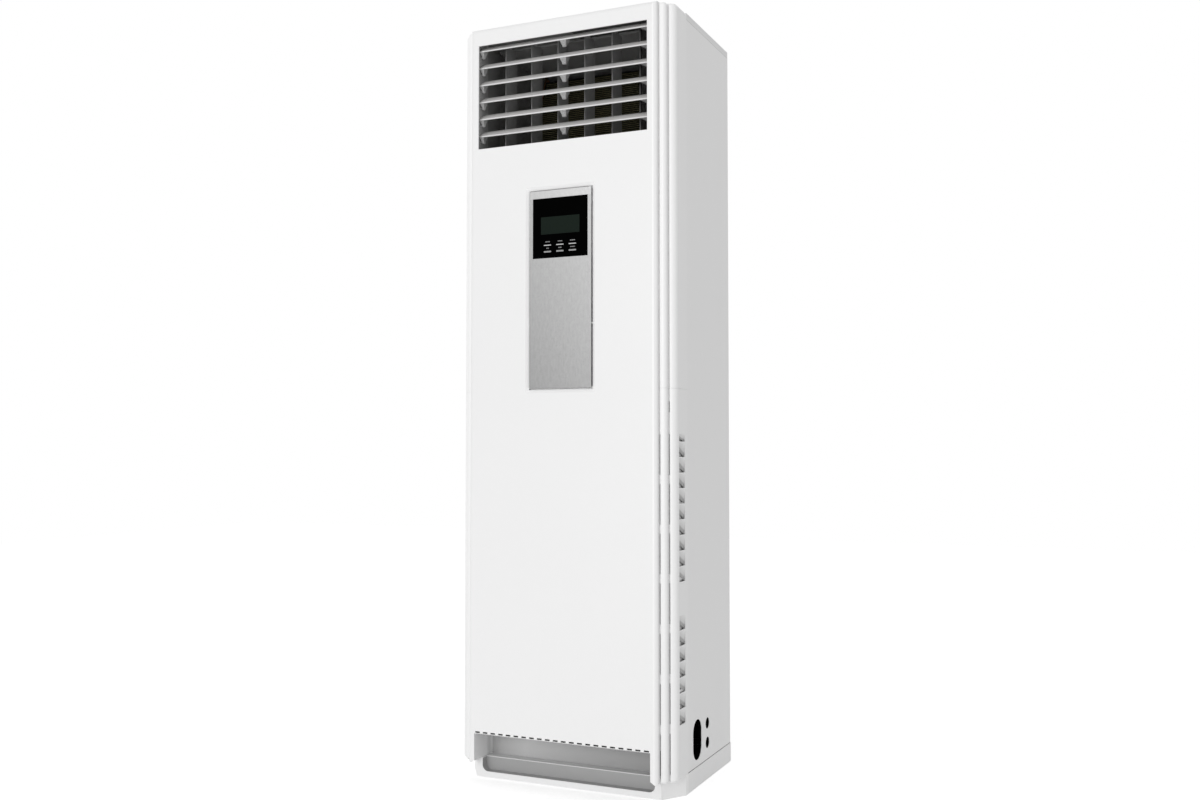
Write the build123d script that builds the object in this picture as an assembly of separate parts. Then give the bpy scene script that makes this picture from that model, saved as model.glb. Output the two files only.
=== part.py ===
from build123d import *
import os
from math import cos, pi, radians, sin

# Floor standing air conditioner. Millimetres, +Z up, +X to the right and +Y to the back
# of someone who faces the front. The origin is the middle of the base on the floor.

# ---- cabinet ----
cabinet_width = 545.0
cabinet_depth = 412.0
cabinet_height = 1780.0
sheet = 1.0                     # pressed steel of the side and back panels
joint_gap = 0.3                 # between pieces that lie against each other
over = 1.0                      # how far a cut runs past the face that it opens
half_width = cabinet_width / 2
front_y = -cabinet_depth / 2
back_y = cabinet_depth / 2

# ---- base ----
base_height = 45.0
base_sheet = 2.0
base_setback = 35.5             # front of the base behind the front panel's face
base_corner_x = 38.5            # the front corners are cut back under the ribs
base_corner_y = 55.0
pocket_side = 14.6              # from the pocket to the cut corner
pocket_depth = 20.5
pocket_lip = 13.5
pocket_round = 15.0
anchor_spacing_x = 400.0
anchor_spacing_y = 230.0
anchor_middle_y = 40.0
anchor_hole_r = 5.5
anchor_access_r = 12.0
base_front = front_y + base_setback
pocket_half = half_width - base_corner_x - pocket_side

# ---- corner posts, each with two ribs in steps beside the panel ----
rib_groove = 2.5
rib_width = 14.25
rib_step = 15.5                 # each rib stands this far behind the last face
inner_rib_round = 9.0
outer_rib_round = 14.0
rib_end_round = 6.0
rib_groove_depth = 2.5
post_wall = 3.0
post_depth = 105.0              # from the panel's face to the post's back edge
post_seam = 910.5
seat_lap = 9.0                  # flange behind the panel's return
seat_foot_gap = 2.5             # the flange starts this far above the toe recess
slot_length = 90.0
slot_pitch = 110.0
slot_low_bottom = 58.0
slot_count = 7
slot_width = 2.0
short_slot_bottom = 857.0
short_slot_length = 24.0
post_back = front_y + post_depth

# ---- front panel ----
panel_wall = 3.0
panel_return = 18.0
panel_round = 10.0
leg_width = 17.0                # the panel's two legs stand beside the toe recess
leg_bottom = 40.0
leg_round = 6.0
leg_cut_x = 10.0
leg_cut_z = 7.0
foot_step = 1.0                 # from the legs' feet up to the posts' feet
toe_top = 109.5
dash_count = 22
dash_end = 8.8                  # from the toe recess's side to the middle of the last dash
dash_length = 12.5
dash_height = 3.8
dash_strip = 0.8                # strip left between the dashes and the cut-out
panel_half = half_width - 2 * (rib_groove + rib_width)
panel_back = front_y + panel_return
toe_half = panel_half - leg_width
dash_pitch = 2 * (toe_half - dash_end) / (dash_count - 1)

# ---- toe recess ----
toe_depth = 83.0
toe_wall = 2.0
toe_round = 12.0

# ---- outlet in the front panel ----
outlet_margin = 22.0            # from the panel's sides
outlet_drop = 41.5              # from the panel's top
outlet_height = 249.5
outlet_half = panel_half - outlet_margin
outlet_top = cabinet_height - outlet_drop
outlet_bottom = outlet_top - outlet_height

# ---- side intake louvres in the lower posts ----
scoop_margin = 16.4             # from the post's back edge
scoop_length = 37.6
scoop_pitch = 34.8
scoop_bar = 2.4
low_scoops_bottom = 162.9
low_scoops = 7
high_scoops_bottom = 478.6
high_scoops = 9
half_scoop_height = 17.0
scoop_back = post_back - scoop_margin
scoop_front = scoop_back - scoop_length

# ---- side panels, back panel and top cover ----
flange = 14.0
bend_round = 4.0
side_seam = 1.2                 # between the base and the side panels
cover_height = 15.5
cover_plate = 2.0
cover_wall = 1.5
cover_round = 6.0
pipe_slot_setback = 61.0        # from the side panel's front edge
pipe_slot_z = 107.0
pipe_slot_width = 57.0
pipe_slot_height = 92.0
cable_hole_r = 13.0
cable_hole_step = 70.4          # behind the pipe slot
cable_hole_low = 85.0
cable_hole_gap = 45.0
bead_radius = 14.0
bead_depth = 3.0
bead_count = 4
bead_margin = 285.0
bead_end = 60.0
pipe_slot_y = post_back + pipe_slot_setback
cable_hole_y = pipe_slot_y + cable_hole_step

# ---- control recess ----
recess_half = 88.5
recess_drop = 105.5             # below the outlet
recess_height = 478.7
recess_bevel = 7.0
recess_depth = 5.0
recess_frame = 5.0
plate_gap = 2.5
plate_setback = 0.8             # plate and window behind the front panel's face
window_half = 70.2
window_drop = 27.5
window_height = 139.5
window_thick = 2.5
window_gap = 0.2
lcd_half = 49.7
lcd_drop = 43.4
lcd_height = 41.0
lcd_thick = 5.0
board_gap = 6.0                 # from the window's back to the key board
board_thick = 1.6
board_margin = 6.0
housing_wall = 2.0
switch_half = 3.0
recess_top = outlet_bottom - recess_drop
recess_bottom = recess_top - recess_height
window_top = recess_top - window_drop
window_bottom = window_top - window_height
lcd_top = window_top - lcd_drop
lcd_bottom = lcd_top - lcd_height

# ---- keys ----
key_columns = 3
key_column_pitch = 32.0
key_width = 18.5
upper_key_height = 2.0
lower_key_height = 3.4
key_rise = 14.7                 # lower row above the window's lower edge
key_row_pitch = 15.0
key_proud = 0.8
key_gap = 0.2
key_flange = 1.2
key_flange_thick = 1.2
key_travel = 1.0

# ---- outlet frame ----
frame_side = 6.0                # the frame's inside beyond the panel's opening
frame_sill = 1.0
frame_head = 22.5
frame_wall = 3.0
frame_depth = 114.0             # back edge behind the front panel's face
frame_lip = 3.0
frame_lip_thick = 2.0
frame_half = outlet_half + frame_side
frame_bottom = outlet_bottom - frame_sill
frame_top = outlet_top + frame_head
frame_back = front_y + frame_depth

# ---- horizontal blades ----
blade_count = 6
blade_low_lip = 33.7            # lowest front edge above the outlet's lower edge
blade_high_lip = 9.3            # highest front edge below the outlet's upper edge
blade_setback = 12.0            # front edges behind the front panel's face
blade_tilt = 32.0               # front edge down
blade_chord = 36.0
blade_thick = 1.8
blade_bow = 1.5
blade_bead = 1.7
blade_pivot_drop = 16.0
blade_pivot_reach = 5.0         # along the chord, behind the front edge
blade_end_gap = 0.8
ear_inset = 1.0                 # from the blade's front edge
ear_tail = 4.0                  # from the blade's rear edge
ear_rise = 11.0                 # an ear has its full width from this far above the pivot
ear_foot = 5.2                  # width at the pivot
ear_foot_inset = 3.4            # from the blade's end
left_ear_width = 11.0
right_ear_width = 30.0
middle_ear_width = 18.0
middle_ear_foot = 9.5
boss_r = 4.2
lug_thick = 2.4
pin_r = 2.5
pivot_gap = 0.05                # radial, running
link_pin_r = 1.6
link_pin_inset = 2.0            # along the chord, in front of the rear edge
link_pin_drop = 4.0             # below the blade's upper face
link_end_gap = 39.0             # from the middle of the link bar to the frame's side
link_gap = 0.2                  # radial, open pivots of the link bars
link_width = 6.4
link_thick = 3.0
link_side_gap = 0.4
notch_depth = 9.0
blade_pitch = (outlet_height - blade_low_lip - blade_high_lip) / (blade_count - 1)

# ---- vertical vanes ----
vane_count = 6
vane_side = 47.25               # from the frame's side to the last vane
vane_setback = 60.0             # front edges behind the front panel's face
vane_pivot = 22.0               # from the vane's front edge
vane_chord = 55.0
vane_thick = 2.0
vane_round = 6.0
vane_bottom_gap = 8.0
vane_top_gap = 8.0
vane_boss_r = 4.5
vane_link_arm = 24.0
vane_link_lift = 1.5
vane_link_width = 9.0
vane_motor_r = 23.0
vane_motor_height = 20.0
vane_motor_ear = 29.0
vane_pitch = 2 * (frame_half - vane_side) / (vane_count - 1)

# ---- air duct ----
channel_width = 32.5            # pipe channel between the duct and the cabinet's side
duct_wall = 12.0
duct_lap = 6.0                  # the outlet frame reaches this far into the duct
duct_rear_gap = 6.0
duct_head = 10.0                # between the duct and the cabinet's top
duct_round = 25.0
duct_ledge = 22.0
duct_half = half_width - channel_width
duct_front = frame_back - duct_lap
duct_back = back_y - duct_rear_gap
duct_top = cabinet_height - duct_head
duct_inner_half = duct_half - duct_wall
ceiling = duct_top - duct_wall

# ---- evaporator ----
coil_lean = 19.0                # degrees from upright, top to the back
coil_thick = 44.0
coil_end_gap = 24.0             # from the fins to the duct's side
coil_front_gap = 7.0            # from the fins' foot to the duct's front
coil_spine = 3.0
fin_count = 41
fin_thick = 1.5
end_plate = 1.5
tube_r = 4.8
bend_r = 10.5
bend_count = 5
bend_first = 190.0
bend_pitch = 80.0
coil_half = duct_inner_half - coil_end_gap
coil_front = duct_front + duct_wall + coil_front_gap

# ---- drain pan ----
pan_drop = 630.0                # below the cabinet's top
pan_height = 30.0
pan_wall = 2.0
pan_depth = 66.0
pan_gap = 2.0
pan_z = cabinet_height - pan_drop

# ---- pipes in the right-hand side channel ----
gas_pipe_r = 9.5
liquid_pipe_r = 4.8
drain_pipe_r = 10.0
gas_pipe_place = 60.0           # along the coil from its foot
liquid_pipe_place = 120.0
drain_pipe_setback = 32.0       # behind the duct's front
pipe_bend = 20.0
pipe_wall = 1.0
pipe_bore_depth = 12.0          # the pipes are modelled solid above this
pipe_end_z = 172.0
drain_end_z = 158.0
nut_height = 16.0
nut_wall = 4.0
hole_gap = 1.0
channel_x = half_width - channel_width / 2
drain_pipe_y = duct_front + drain_pipe_setback

# ---- fan deck and blower ----
deck_z = 730.0
deck_thick = 2.0
deck_flange = 20.0
deck_setback = 26.0
fan_z = 468.0
wheel_front_gap = 16.0          # inside the scroll
wheel_back_gap = 22.0
wheel_ring = 3.0
wheel_disc = 2.5
blade_ring = 26.0
fan_blades = 32
fan_blade_thick = 1.6
fan_blade_lean = 4.0            # degrees that a blade's foot lags its tip
fan_blade_bow = 7.5
hub_r = 22.0
hub_length = 34.0
shaft_r = 6.0
scroll_front = -92.0
scroll_depth = 164.0
scroll_wall = 2.0
scroll_side_gap = 40.5          # from the scroll's outer wall at its mouth to the cabinet's side
scroll_wheel_gap = 82.0         # from the same wall to the wheel
scroll_step = 25.6              # side of the square that the arcs' centres stand on
scroll_tongue = 125.0           # degrees
inlet_gap = 6.0                 # from the inlet's throat to the wheel's blades
bell_round = 18.0
bell_wall = 1.5
bell_steps = 3
bell_flange = 14.0
motor_r = 68.0
motor_length = 80.0
motor_rim = 10.0
bracket_thick = 4.0
bracket_r = 100.0
bracket_arm = 26.0
deck_front = front_y + deck_setback
scroll_back = scroll_front + scroll_depth
wheel_front = scroll_front + wheel_front_gap
wheel_back = scroll_back - wheel_back_gap
scroll_end_r = half_width - scroll_side_gap
wheel_r = scroll_end_r - scroll_wheel_gap
inlet_r = wheel_r - blade_ring - inlet_gap
motor_hole_r = motor_r + motor_rim

# ---- filters, electric box ----
filter_thick = 4.0
filter_rim = 6.0
filter_net = 0.6
filter_lap = 3.0                # in front of the intake louvres
filter_margin = 12.0
filter_bars = 8
box_half = 130.0
box_rise = 32.0                 # above the fan deck
box_height = 130.0
box_depth = 58.0
box_sheet = 1.2
circuit_margin = 14.0
circuit_standoff = 8.0
terminal_length = 70.0
terminal_height = 18.0
terminal_cells = 5
filter_front = scoop_front - filter_lap
box_bottom = deck_z + box_rise
box_top = box_bottom + box_height

# ---- worked out from the sizes above ----
rib_a_left = panel_half + rib_groove
rib_a_right = rib_a_left + rib_width
rib_b_left = rib_a_right + rib_groove
rib_a_front = front_y + rib_step
rib_b_front = front_y + 2 * rib_step
side_top = cabinet_height - cover_height
toe_back = front_y + toe_depth
post_bottom = leg_bottom + foot_step
recess_floor = front_y + recess_depth
plate_front = front_y + plate_setback
window_back = plate_front + window_thick
board_front = window_back + board_gap
board_back = board_front + board_thick
tilt = radians(blade_tilt)
blade_rear = blade_chord - blade_pivot_reach
link_pin_reach = blade_rear - link_pin_inset
link_pin_rise = blade_pivot_drop - link_pin_drop
link_x = frame_half - link_end_gap
pivot_y = front_y + blade_setback + blade_pivot_reach * cos(tilt) + blade_pivot_drop * sin(tilt)
pivot_low_z = outlet_bottom + blade_low_lip + blade_pivot_reach * sin(tilt) - blade_pivot_drop * cos(tilt)
vane_front = front_y + vane_setback
vane_y = vane_front + vane_pivot
vane_bottom = frame_bottom + vane_bottom_gap
vane_top = frame_top - vane_top_gap
lean = radians(coil_lean)
coil_foot_z = pan_z + pan_wall + pan_gap
coil_length = (ceiling - joint_gap - coil_foot_z - coil_thick * sin(lean)) / cos(lean)
motor_front = scroll_back + bracket_thick


def block(x, y, z):
    # a block between two limits along each axis
    middle = [(low + high) / 2 for low, high in (x, y, z)]
    return Pos(*middle) * Box(x[1] - x[0], y[1] - y[0], z[1] - z[0])


def facing_front(y):
    # a plane whose sketches are (x, z) and are extruded towards the front
    return Plane((0, y, 0), x_dir=(1, 0, 0), z_dir=(0, -1, 0))


def facing_right(x):
    # a plane whose sketches are (y, z) and are extruded towards the right
    return Plane((x, 0, 0), x_dir=(0, 1, 0), z_dir=(1, 0, 0))


def rectangle(x, y):
    # a flat rectangle between two limits along each axis
    return Pos((x[0] + x[1]) / 2, (y[0] + y[1]) / 2) * Rectangle(x[1] - x[0], y[1] - y[0])


def outline(*points):
    return make_face(Polyline(*points, close=True))


def rod_x(radius, start, end, y, z):
    return extrude(facing_right(start) * Pos(y, z) * Circle(radius), amount=end - start)


def rod_y(radius, start, end, x, z):
    return extrude(facing_front(end) * Pos(x, z) * Circle(radius), amount=end - start)


def rod_z(radius, start, end, x, y):
    return extrude(Pos(x, y, start) * Circle(radius), amount=end - start)


def mirrored(solid):
    return mirror(solid, about=Plane.YZ)


# ---------------------------------------------------------------- cabinet

def base_plan(inset):
    # plan of the plinth, its front corners cut back
    points = (
        (-half_width, base_front + base_corner_y),
        (-half_width + base_corner_x, base_front),
        (half_width - base_corner_x, base_front),
        (half_width, base_front + base_corner_y),
        (half_width, back_y),
        (-half_width, back_y),
    )
    plan = outline(*points)
    return offset(plan, -inset, kind=Kind.INTERSECTION) if inset else plan


def pocket_shape(grown):
    # front view of the pocket, open at the top and round at its lower corners
    shape = rectangle((-pocket_half, pocket_half), (pocket_lip, base_height + pocket_round))
    shape = fillet(shape.vertices().group_by(Axis.Y)[0], pocket_round)
    return offset(shape, grown) if grown else shape


def make_base():
    outside = extrude(base_plan(0), amount=base_height)
    inside = extrude(Pos(0, 0, base_sheet) * base_plan(base_sheet), amount=base_height - 2 * base_sheet)
    pocket_back = base_front + pocket_depth
    lining = extrude(facing_front(pocket_back + base_sheet) * pocket_shape(base_sheet), amount=pocket_depth)
    pocket = extrude(facing_front(pocket_back) * pocket_shape(0), amount=pocket_depth + base_sheet)
    base = outside - (inside - lining) - pocket
    for x in (-anchor_spacing_x / 2, anchor_spacing_x / 2):
        for y in (anchor_middle_y - anchor_spacing_y / 2, anchor_middle_y + anchor_spacing_y / 2):
            base -= rod_z(anchor_hole_r, -over, base_height / 2, x, y)
            base -= rod_z(anchor_access_r, base_height / 2, base_height + over, x, y)
    return base


def make_toe_recess():
    # a three-sided moulding with round inner corners and a closed top
    outer = rectangle(
        (-toe_half - toe_wall, toe_half + toe_wall), (front_y + panel_wall, toe_back + toe_wall)
    )
    outer = fillet(outer.vertices().group_by(Axis.Y)[-1], toe_round + toe_wall)
    inner = rectangle((-toe_half, toe_half), (front_y, toe_back))
    inner = fillet(inner.vertices().group_by(Axis.Y)[-1], toe_round)
    shell = extrude(Pos(0, 0, base_height) * outer, amount=toe_top - base_height)
    return shell - extrude(Pos(0, 0, base_height) * inner, amount=toe_top - toe_wall - base_height)


def panel_body(inset, back):
    # a shallow pan with round side and top edges; inset gives its inside
    half = panel_half - inset
    front = front_y + inset
    top = cabinet_height - inset
    plan = rectangle((-half, half), (front, back))
    plan = fillet(plan.vertices().group_by(Axis.Y)[0], panel_round - inset)
    profile = rectangle((front, back), (0, top))
    profile = fillet(profile.vertices().group_by(Axis.Y)[-1].sort_by(Axis.X)[0], panel_round - inset)
    return extrude(plan, amount=top) & extrude(facing_right(-half) * profile, amount=2 * half)


def panel_front_view():
    # the panel stands on two legs beside the toe recess
    view = outline(
        (-panel_half, cabinet_height),
        (-panel_half, leg_bottom),
        (-toe_half - leg_cut_x, leg_bottom),
        (-toe_half, leg_bottom + leg_cut_z),
        (-toe_half, toe_top),
        (toe_half, toe_top),
        (toe_half, leg_bottom + leg_cut_z),
        (toe_half + leg_cut_x, leg_bottom),
        (panel_half, leg_bottom),
        (panel_half, cabinet_height),
    )
    feet = view.vertices().group_by(Axis.Y)[0].sort_by(Axis.X)
    return fillet([feet[0], feet[-1]], leg_round)


def recess_rectangle(inset, y):
    face = rectangle(
        (-recess_half + inset, recess_half - inset), (recess_bottom + inset, recess_top - inset)
    )
    return facing_front(y) * face


def make_front_panel():
    view = extrude(facing_front(panel_back) * panel_front_view(), amount=panel_return)
    pan = (panel_body(0, panel_back) - panel_body(panel_wall, panel_back + over)) & view
    rim = extrude(recess_rectangle(-recess_frame, recess_floor), amount=recess_depth - panel_wall)
    opening = loft([recess_rectangle(0, front_y), recess_rectangle(recess_bevel, recess_floor)])
    pan = pan + rim - opening
    pan -= block((-outlet_half, outlet_half), (front_y - over, panel_back), (outlet_bottom, outlet_top))
    dash_z = toe_top + dash_strip
    for index in range(dash_count):
        x = (index - (dash_count - 1) / 2) * dash_pitch
        pan -= block(
            (x - dash_length / 2, x + dash_length / 2),
            (front_y - over, front_y + panel_wall + over),
            (dash_z, dash_z + dash_height),
        )
    return pan


def rib(left, right, front, corner, bottom, top, open_bottom):
    # one upright rib with a round outer corner and round ends
    plan = rectangle((left, right), (front, post_back))
    plan = fillet(plan.vertices().sort_by(Axis.Y)[:2].sort_by(Axis.X)[-1], corner)
    column = extrude(Pos(0, 0, bottom) * plan, amount=top - bottom)
    ends = [top] if open_bottom else [top, bottom]
    for z in ends:
        lying = column.edges().filter_by(lambda edge: abs(edge.center().Z - z) < 0.01)
        outer = lying.filter_by(
            lambda edge: edge.center().Y < post_back - over and edge.center().X > left + over
        )
        column = fillet(outer, rib_end_round)
    return column


def make_post(bottom, top, round_bottom):
    # the right-hand post: two ribs, the groove between them and the flange behind the panel
    open_bottom = not round_bottom
    round_top = top >= cabinet_height
    high = top if round_top else top + 2 * rib_end_round
    post = rib(rib_a_left, rib_a_right, rib_a_front, inner_rib_round, bottom, high, open_bottom)
    post += rib(rib_b_left, half_width, rib_b_front, outer_rib_round, bottom, high, open_bottom)
    floor = rib_b_front + rib_groove_depth
    post += block((rib_a_right - post_wall, rib_b_left + post_wall), (floor, post_back), (bottom, high))
    post += block((panel_half - seat_lap, rib_a_left), (panel_back, post_back), (bottom, high))
    if not round_top:
        post -= block((0, half_width + over), (front_y, post_back + over), (top, high + over))
    return post - post_inside(bottom, top, round_bottom, round_top)


def post_inside(bottom, top, round_bottom, round_top):
    # the hollow behind the ribs, open to the back
    low = bottom + post_wall if round_bottom else bottom - over
    high = top - post_wall if round_top else top + over
    floor = rib_b_front + rib_groove_depth + post_wall
    rib_a = rectangle((rib_a_left + post_wall, rib_a_right - post_wall), (rib_a_front + post_wall, floor))
    rib_b_inside = (rib_b_left + post_wall, half_width - post_wall)
    corner = min(outer_rib_round - post_wall, 0.9 * (rib_b_inside[1] - rib_b_inside[0]))
    rib_b = rectangle(rib_b_inside, (rib_b_front + post_wall, floor + outer_rib_round))
    rib_b = fillet(rib_b.vertices().group_by(Axis.Y)[0].sort_by(Axis.X)[-1], corner)
    hollow = rectangle((0, half_width - post_wall), (max(floor, panel_back + post_wall), post_back + over))
    behind_flange = rectangle((0, rib_a_right - post_wall), (panel_back + post_wall, floor + over))
    plan = rib_a + rib_b + hollow + behind_flange
    return extrude(Pos(0, 0, low) * plan, amount=high - low)


def make_scoop(top, height):
    # an intake louvre: a face that sinks towards the bottom and the front
    wide = scoop_back - scoop_front
    across = half_width - 3 * post_wall, half_width + over
    cell = block(across, (scoop_front, scoop_back), (top - height, top))
    slope = Plane(
        (half_width, scoop_back, top), z_dir=(-1, post_wall / (2 * wide), post_wall / height)
    )
    return split(cell, bisect_by=slope, keep=Keep.BOTTOM)


def make_lower_post():
    post = make_post(post_bottom, post_seam - joint_gap, True)
    post += block(
        (half_width - post_wall, half_width),
        (base_front + base_corner_y, post_back),
        (base_height, base_height + 2 * post_wall),
    )
    beside_recess = panel_half - seat_lap - over, panel_half + over
    foot = post_bottom - over, toe_top + seat_foot_gap
    post -= block(beside_recess, (panel_back - over, post_back + over), foot)
    post -= extrude(base_plan(-joint_gap), amount=base_height + joint_gap)
    for index in range(slot_count):
        low = slot_low_bottom + index * slot_pitch
        post -= groove_slot(rib_groove_1(), low, slot_length)
        post -= groove_slot(rib_groove_2(), low, slot_length)
    post -= groove_slot(rib_groove_2(), short_slot_bottom, short_slot_length)
    for count, start in ((low_scoops, low_scoops_bottom), (high_scoops, high_scoops_bottom)):
        for index in range(count):
            post -= make_scoop(start + (index + 1) * scoop_pitch - scoop_bar, scoop_pitch - scoop_bar)
    top = high_scoops_bottom + high_scoops * scoop_pitch + half_scoop_height
    return post - make_scoop(top, half_scoop_height)


def rib_groove_1():
    return (panel_half + rib_a_left) / 2, panel_back


def rib_groove_2():
    return (rib_a_right + rib_b_left) / 2, rib_b_front + rib_groove_depth


def groove_slot(groove, low, length):
    x, floor = groove
    across = x - slot_width / 2, x + slot_width / 2
    return block(across, (floor - over, floor + post_wall + over), (low, low + length))


def make_side_panel():
    # a pressed sheet with flanges turned in at the front and the back
    outer = rectangle((half_width - flange, half_width), (post_back, back_y - sheet))
    outer = fillet(outer.vertices().sort_by(Axis.X)[2:].sort_by(Axis.Y)[-1], bend_round)
    inside = half_width - flange - over, half_width - sheet
    inner = rectangle(inside, (post_back + sheet, back_y - 2 * sheet))
    inner = fillet(inner.vertices().sort_by(Axis.X)[2:].sort_by(Axis.Y)[-1], bend_round - sheet)
    foot = base_height + side_seam
    return extrude(Pos(0, 0, foot) * (outer - inner), amount=side_top - foot)


def make_right_side_panel():
    panel = make_side_panel()
    slot = Pos(pipe_slot_y, pipe_slot_z) * SlotOverall(pipe_slot_height, pipe_slot_width, rotation=90)
    panel -= extrude(facing_right(half_width - 2 * sheet) * slot, amount=3 * sheet)
    for z in (cable_hole_low, cable_hole_low + cable_hole_gap):
        panel -= rod_x(cable_hole_r, half_width - 2 * sheet, half_width + sheet, cable_hole_y, z)
    return panel


def make_back_panel():
    # a sheet stiffened by beads that are pressed inwards
    half = half_width - bend_round
    panel = block((-half, half), (back_y - sheet, back_y), (base_height, side_top))
    middle_y = back_y + bead_radius - bead_depth
    bead_half = half - bead_end
    pitch = (side_top - base_height - 2 * bead_margin) / (bead_count - 1)
    for index in range(bead_count):
        z = base_height + bead_margin + index * pitch
        bead = rod_x(bead_radius + sheet, -bead_half, bead_half, middle_y, z)
        bead &= block((-half, half), (front_y, back_y - sheet), (0, cabinet_height))
        panel += bead
        panel -= rod_x(bead_radius, -bead_half + sheet, bead_half - sheet, middle_y, z)
    return panel


def cover_plan(inset):
    plan = rectangle((-half_width + inset, half_width - inset), (post_back, back_y - inset))
    return fillet(plan.vertices().group_by(Axis.Y)[-1], cover_round - inset)


def make_top_cover():
    # a shallow lid, with a tongue that runs forward between the posts to the panel
    lid = extrude(Pos(0, 0, side_top) * cover_plan(0), amount=cover_height)
    lid -= extrude(Pos(0, 0, side_top) * cover_plan(cover_wall), amount=cover_height - cover_plate)
    lid += block((-panel_half + seat_lap + joint_gap, panel_half - seat_lap - joint_gap),
                 (panel_back, post_back), (cabinet_height - cover_plate, cabinet_height))
    return lid


# ---------------------------------------------------------------- control recess

def key_places():
    # x, z and height of each key, the upper row first
    for z, height in ((window_bottom + key_rise + key_row_pitch, upper_key_height),
                      (window_bottom + key_rise, lower_key_height)):
        for column in range(key_columns):
            yield (column - (key_columns - 1) / 2) * key_column_pitch, z, height


def centred(x, z, width, height, y):
    return block((x - width / 2, x + width / 2), y, (z - height / 2, z + height / 2))


def make_control_plate():
    inset = recess_bevel + plate_gap
    half = recess_half - inset
    depth = (plate_front, window_back)
    plate = block((-half, half), depth, (recess_bottom + inset, recess_top - inset))
    hole_half = window_half + window_gap
    hole_z = (window_bottom - window_gap, window_top + window_gap)
    return plate - block((-hole_half, hole_half), depth, hole_z)


def make_display_window():
    depth = (plate_front, window_back)
    window = block((-window_half, window_half), depth, (window_bottom, window_top))
    window -= block((-lcd_half, lcd_half), depth, (lcd_bottom, lcd_top))
    for x, z, height in key_places():
        window -= centred(x, z, key_width + 2 * key_gap, height + 2 * key_gap, depth)
    return window


def make_lcd():
    # the glass stands in the window, its carrier behind it
    glass = block(
        (-lcd_half + joint_gap, lcd_half - joint_gap),
        (plate_front + window_gap, window_back),
        (lcd_bottom + joint_gap, lcd_top - joint_gap),
    )
    carrier = block(
        (-lcd_half - lcd_thick, lcd_half + lcd_thick),
        (window_back, window_back + lcd_thick),
        (lcd_bottom - lcd_thick, lcd_top + lcd_thick),
    )
    return glass + carrier


def make_key(x, z, height):
    # a slim bar with a flange behind the window and a plunger over its switch
    key = centred(x, z, key_width, height, (plate_front - key_proud, window_back))
    key = fillet(key.edges().filter_by(Axis.Y), height / 4)
    flange_back = window_back + window_gap + key_flange_thick
    grown = 2 * key_flange
    key += centred(x, z, key_width + grown, height + grown, (window_back + window_gap, flange_back))
    key += centred(x, z, key_width, height, (window_back, window_back + window_gap))
    plunger_back = board_front - switch_half - key_travel - key_gap
    return key + centred(x, z, switch_half, switch_half, (flange_back, plunger_back))


def make_key_board():
    board = block(
        (-window_half, window_half),
        (board_front, board_back),
        (window_bottom, window_top - board_margin),
    )
    for x, z, _ in key_places():
        board += centred(x, z, 2 * switch_half, 2 * switch_half, (board_front - switch_half, board_front))
    return board


def make_control_housing():
    # a tray behind the silver plate; ribs in it carry the key board
    half = recess_half + recess_frame
    front = recess_floor
    back = board_back + housing_wall
    low, high = recess_bottom - recess_frame, recess_top + recess_frame
    tray = block((-half, half), (front, back), (low, high))
    hollow = block(
        (-half + housing_wall, half - housing_wall),
        (front, board_back),
        (low + housing_wall, high - housing_wall),
    )
    tray -= hollow
    plate_half = recess_half - recess_bevel
    rib_depth = (window_back, board_back)
    for z in (recess_bottom + recess_bevel + plate_gap, (recess_bottom + window_bottom) / 2):
        tray += block((-plate_half, plate_half), rib_depth, (z, z + housing_wall))
    edge = window_half + window_gap
    for x in (-edge - housing_wall, edge):
        tray += block((x, x + housing_wall), rib_depth, (window_bottom, window_top))
    return tray


# ---------------------------------------------------------------- outlet

def blade_pivot(index):
    return pivot_y, pivot_low_z + (blade_count - 1 - index) * blade_pitch


def blade_plane(index, x):
    # sketches on it are (along the chord to the back, up from the pivot)
    y, z = blade_pivot(index)
    return Plane((x, y, z), x_dir=(0, cos(tilt), sin(tilt)), z_dir=(1, 0, 0))


def blade_section():
    # a thin bowed plate with a bead along its front edge
    lip = -blade_pivot_reach
    middle = lip + blade_chord / 2
    high = blade_pivot_drop
    low = high - blade_thick
    upper = ThreePointArc((lip, high), (middle, high + blade_bow), (blade_rear, high))
    rear = Line((blade_rear, high), (blade_rear, low))
    lower = ThreePointArc((blade_rear, low), (middle, low + blade_bow), (lip, low))
    front = Line((lip, low), (lip, high))
    plate = make_face([upper, rear, lower, front])
    bead = Pos(lip + blade_bead / 2, (high + low) / 2) * Circle(blade_bead)
    return plate + bead


def ear_section():
    # side view of an ear: a V from the blade down to the boss round the pivot
    top = blade_pivot_drop
    front = ear_inset - blade_pivot_reach
    return outline((front, top), (-boss_r, 0), (boss_r, 0), (blade_rear - ear_tail, top)) + Circle(boss_r)


def lug_section():
    # the V-shaped lug that carries the link pin
    top = blade_pivot_drop
    boss_half = 2 * link_pin_r
    arm = outline(
        (link_pin_reach - 2 * boss_half, top),
        (link_pin_reach - boss_half, link_pin_rise),
        (link_pin_reach + boss_half, link_pin_rise),
        (blade_rear, top),
    )
    return arm + Pos(link_pin_reach, link_pin_rise) * Circle(boss_half)


def make_ear(index, at_blade, at_foot):
    # an ear whose front view narrows from the blade to the boss; both widths are (left, right)
    y, z = blade_pivot(index)
    full = z + ear_rise
    above = z + blade_chord
    front_view = outline(
        (at_blade[0], above),
        (at_blade[0], full),
        (at_foot[0], z),
        (at_foot[0], z - boss_r),
        (at_foot[1], z - boss_r),
        (at_foot[1], z),
        (at_blade[1], full),
        (at_blade[1], above),
    )
    wedge = extrude(facing_front(y + blade_chord) * front_view, amount=2 * blade_chord)
    width = at_blade[1] - at_blade[0]
    return extrude(blade_plane(index, at_blade[0]) * ear_section(), amount=width) & wedge


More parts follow.
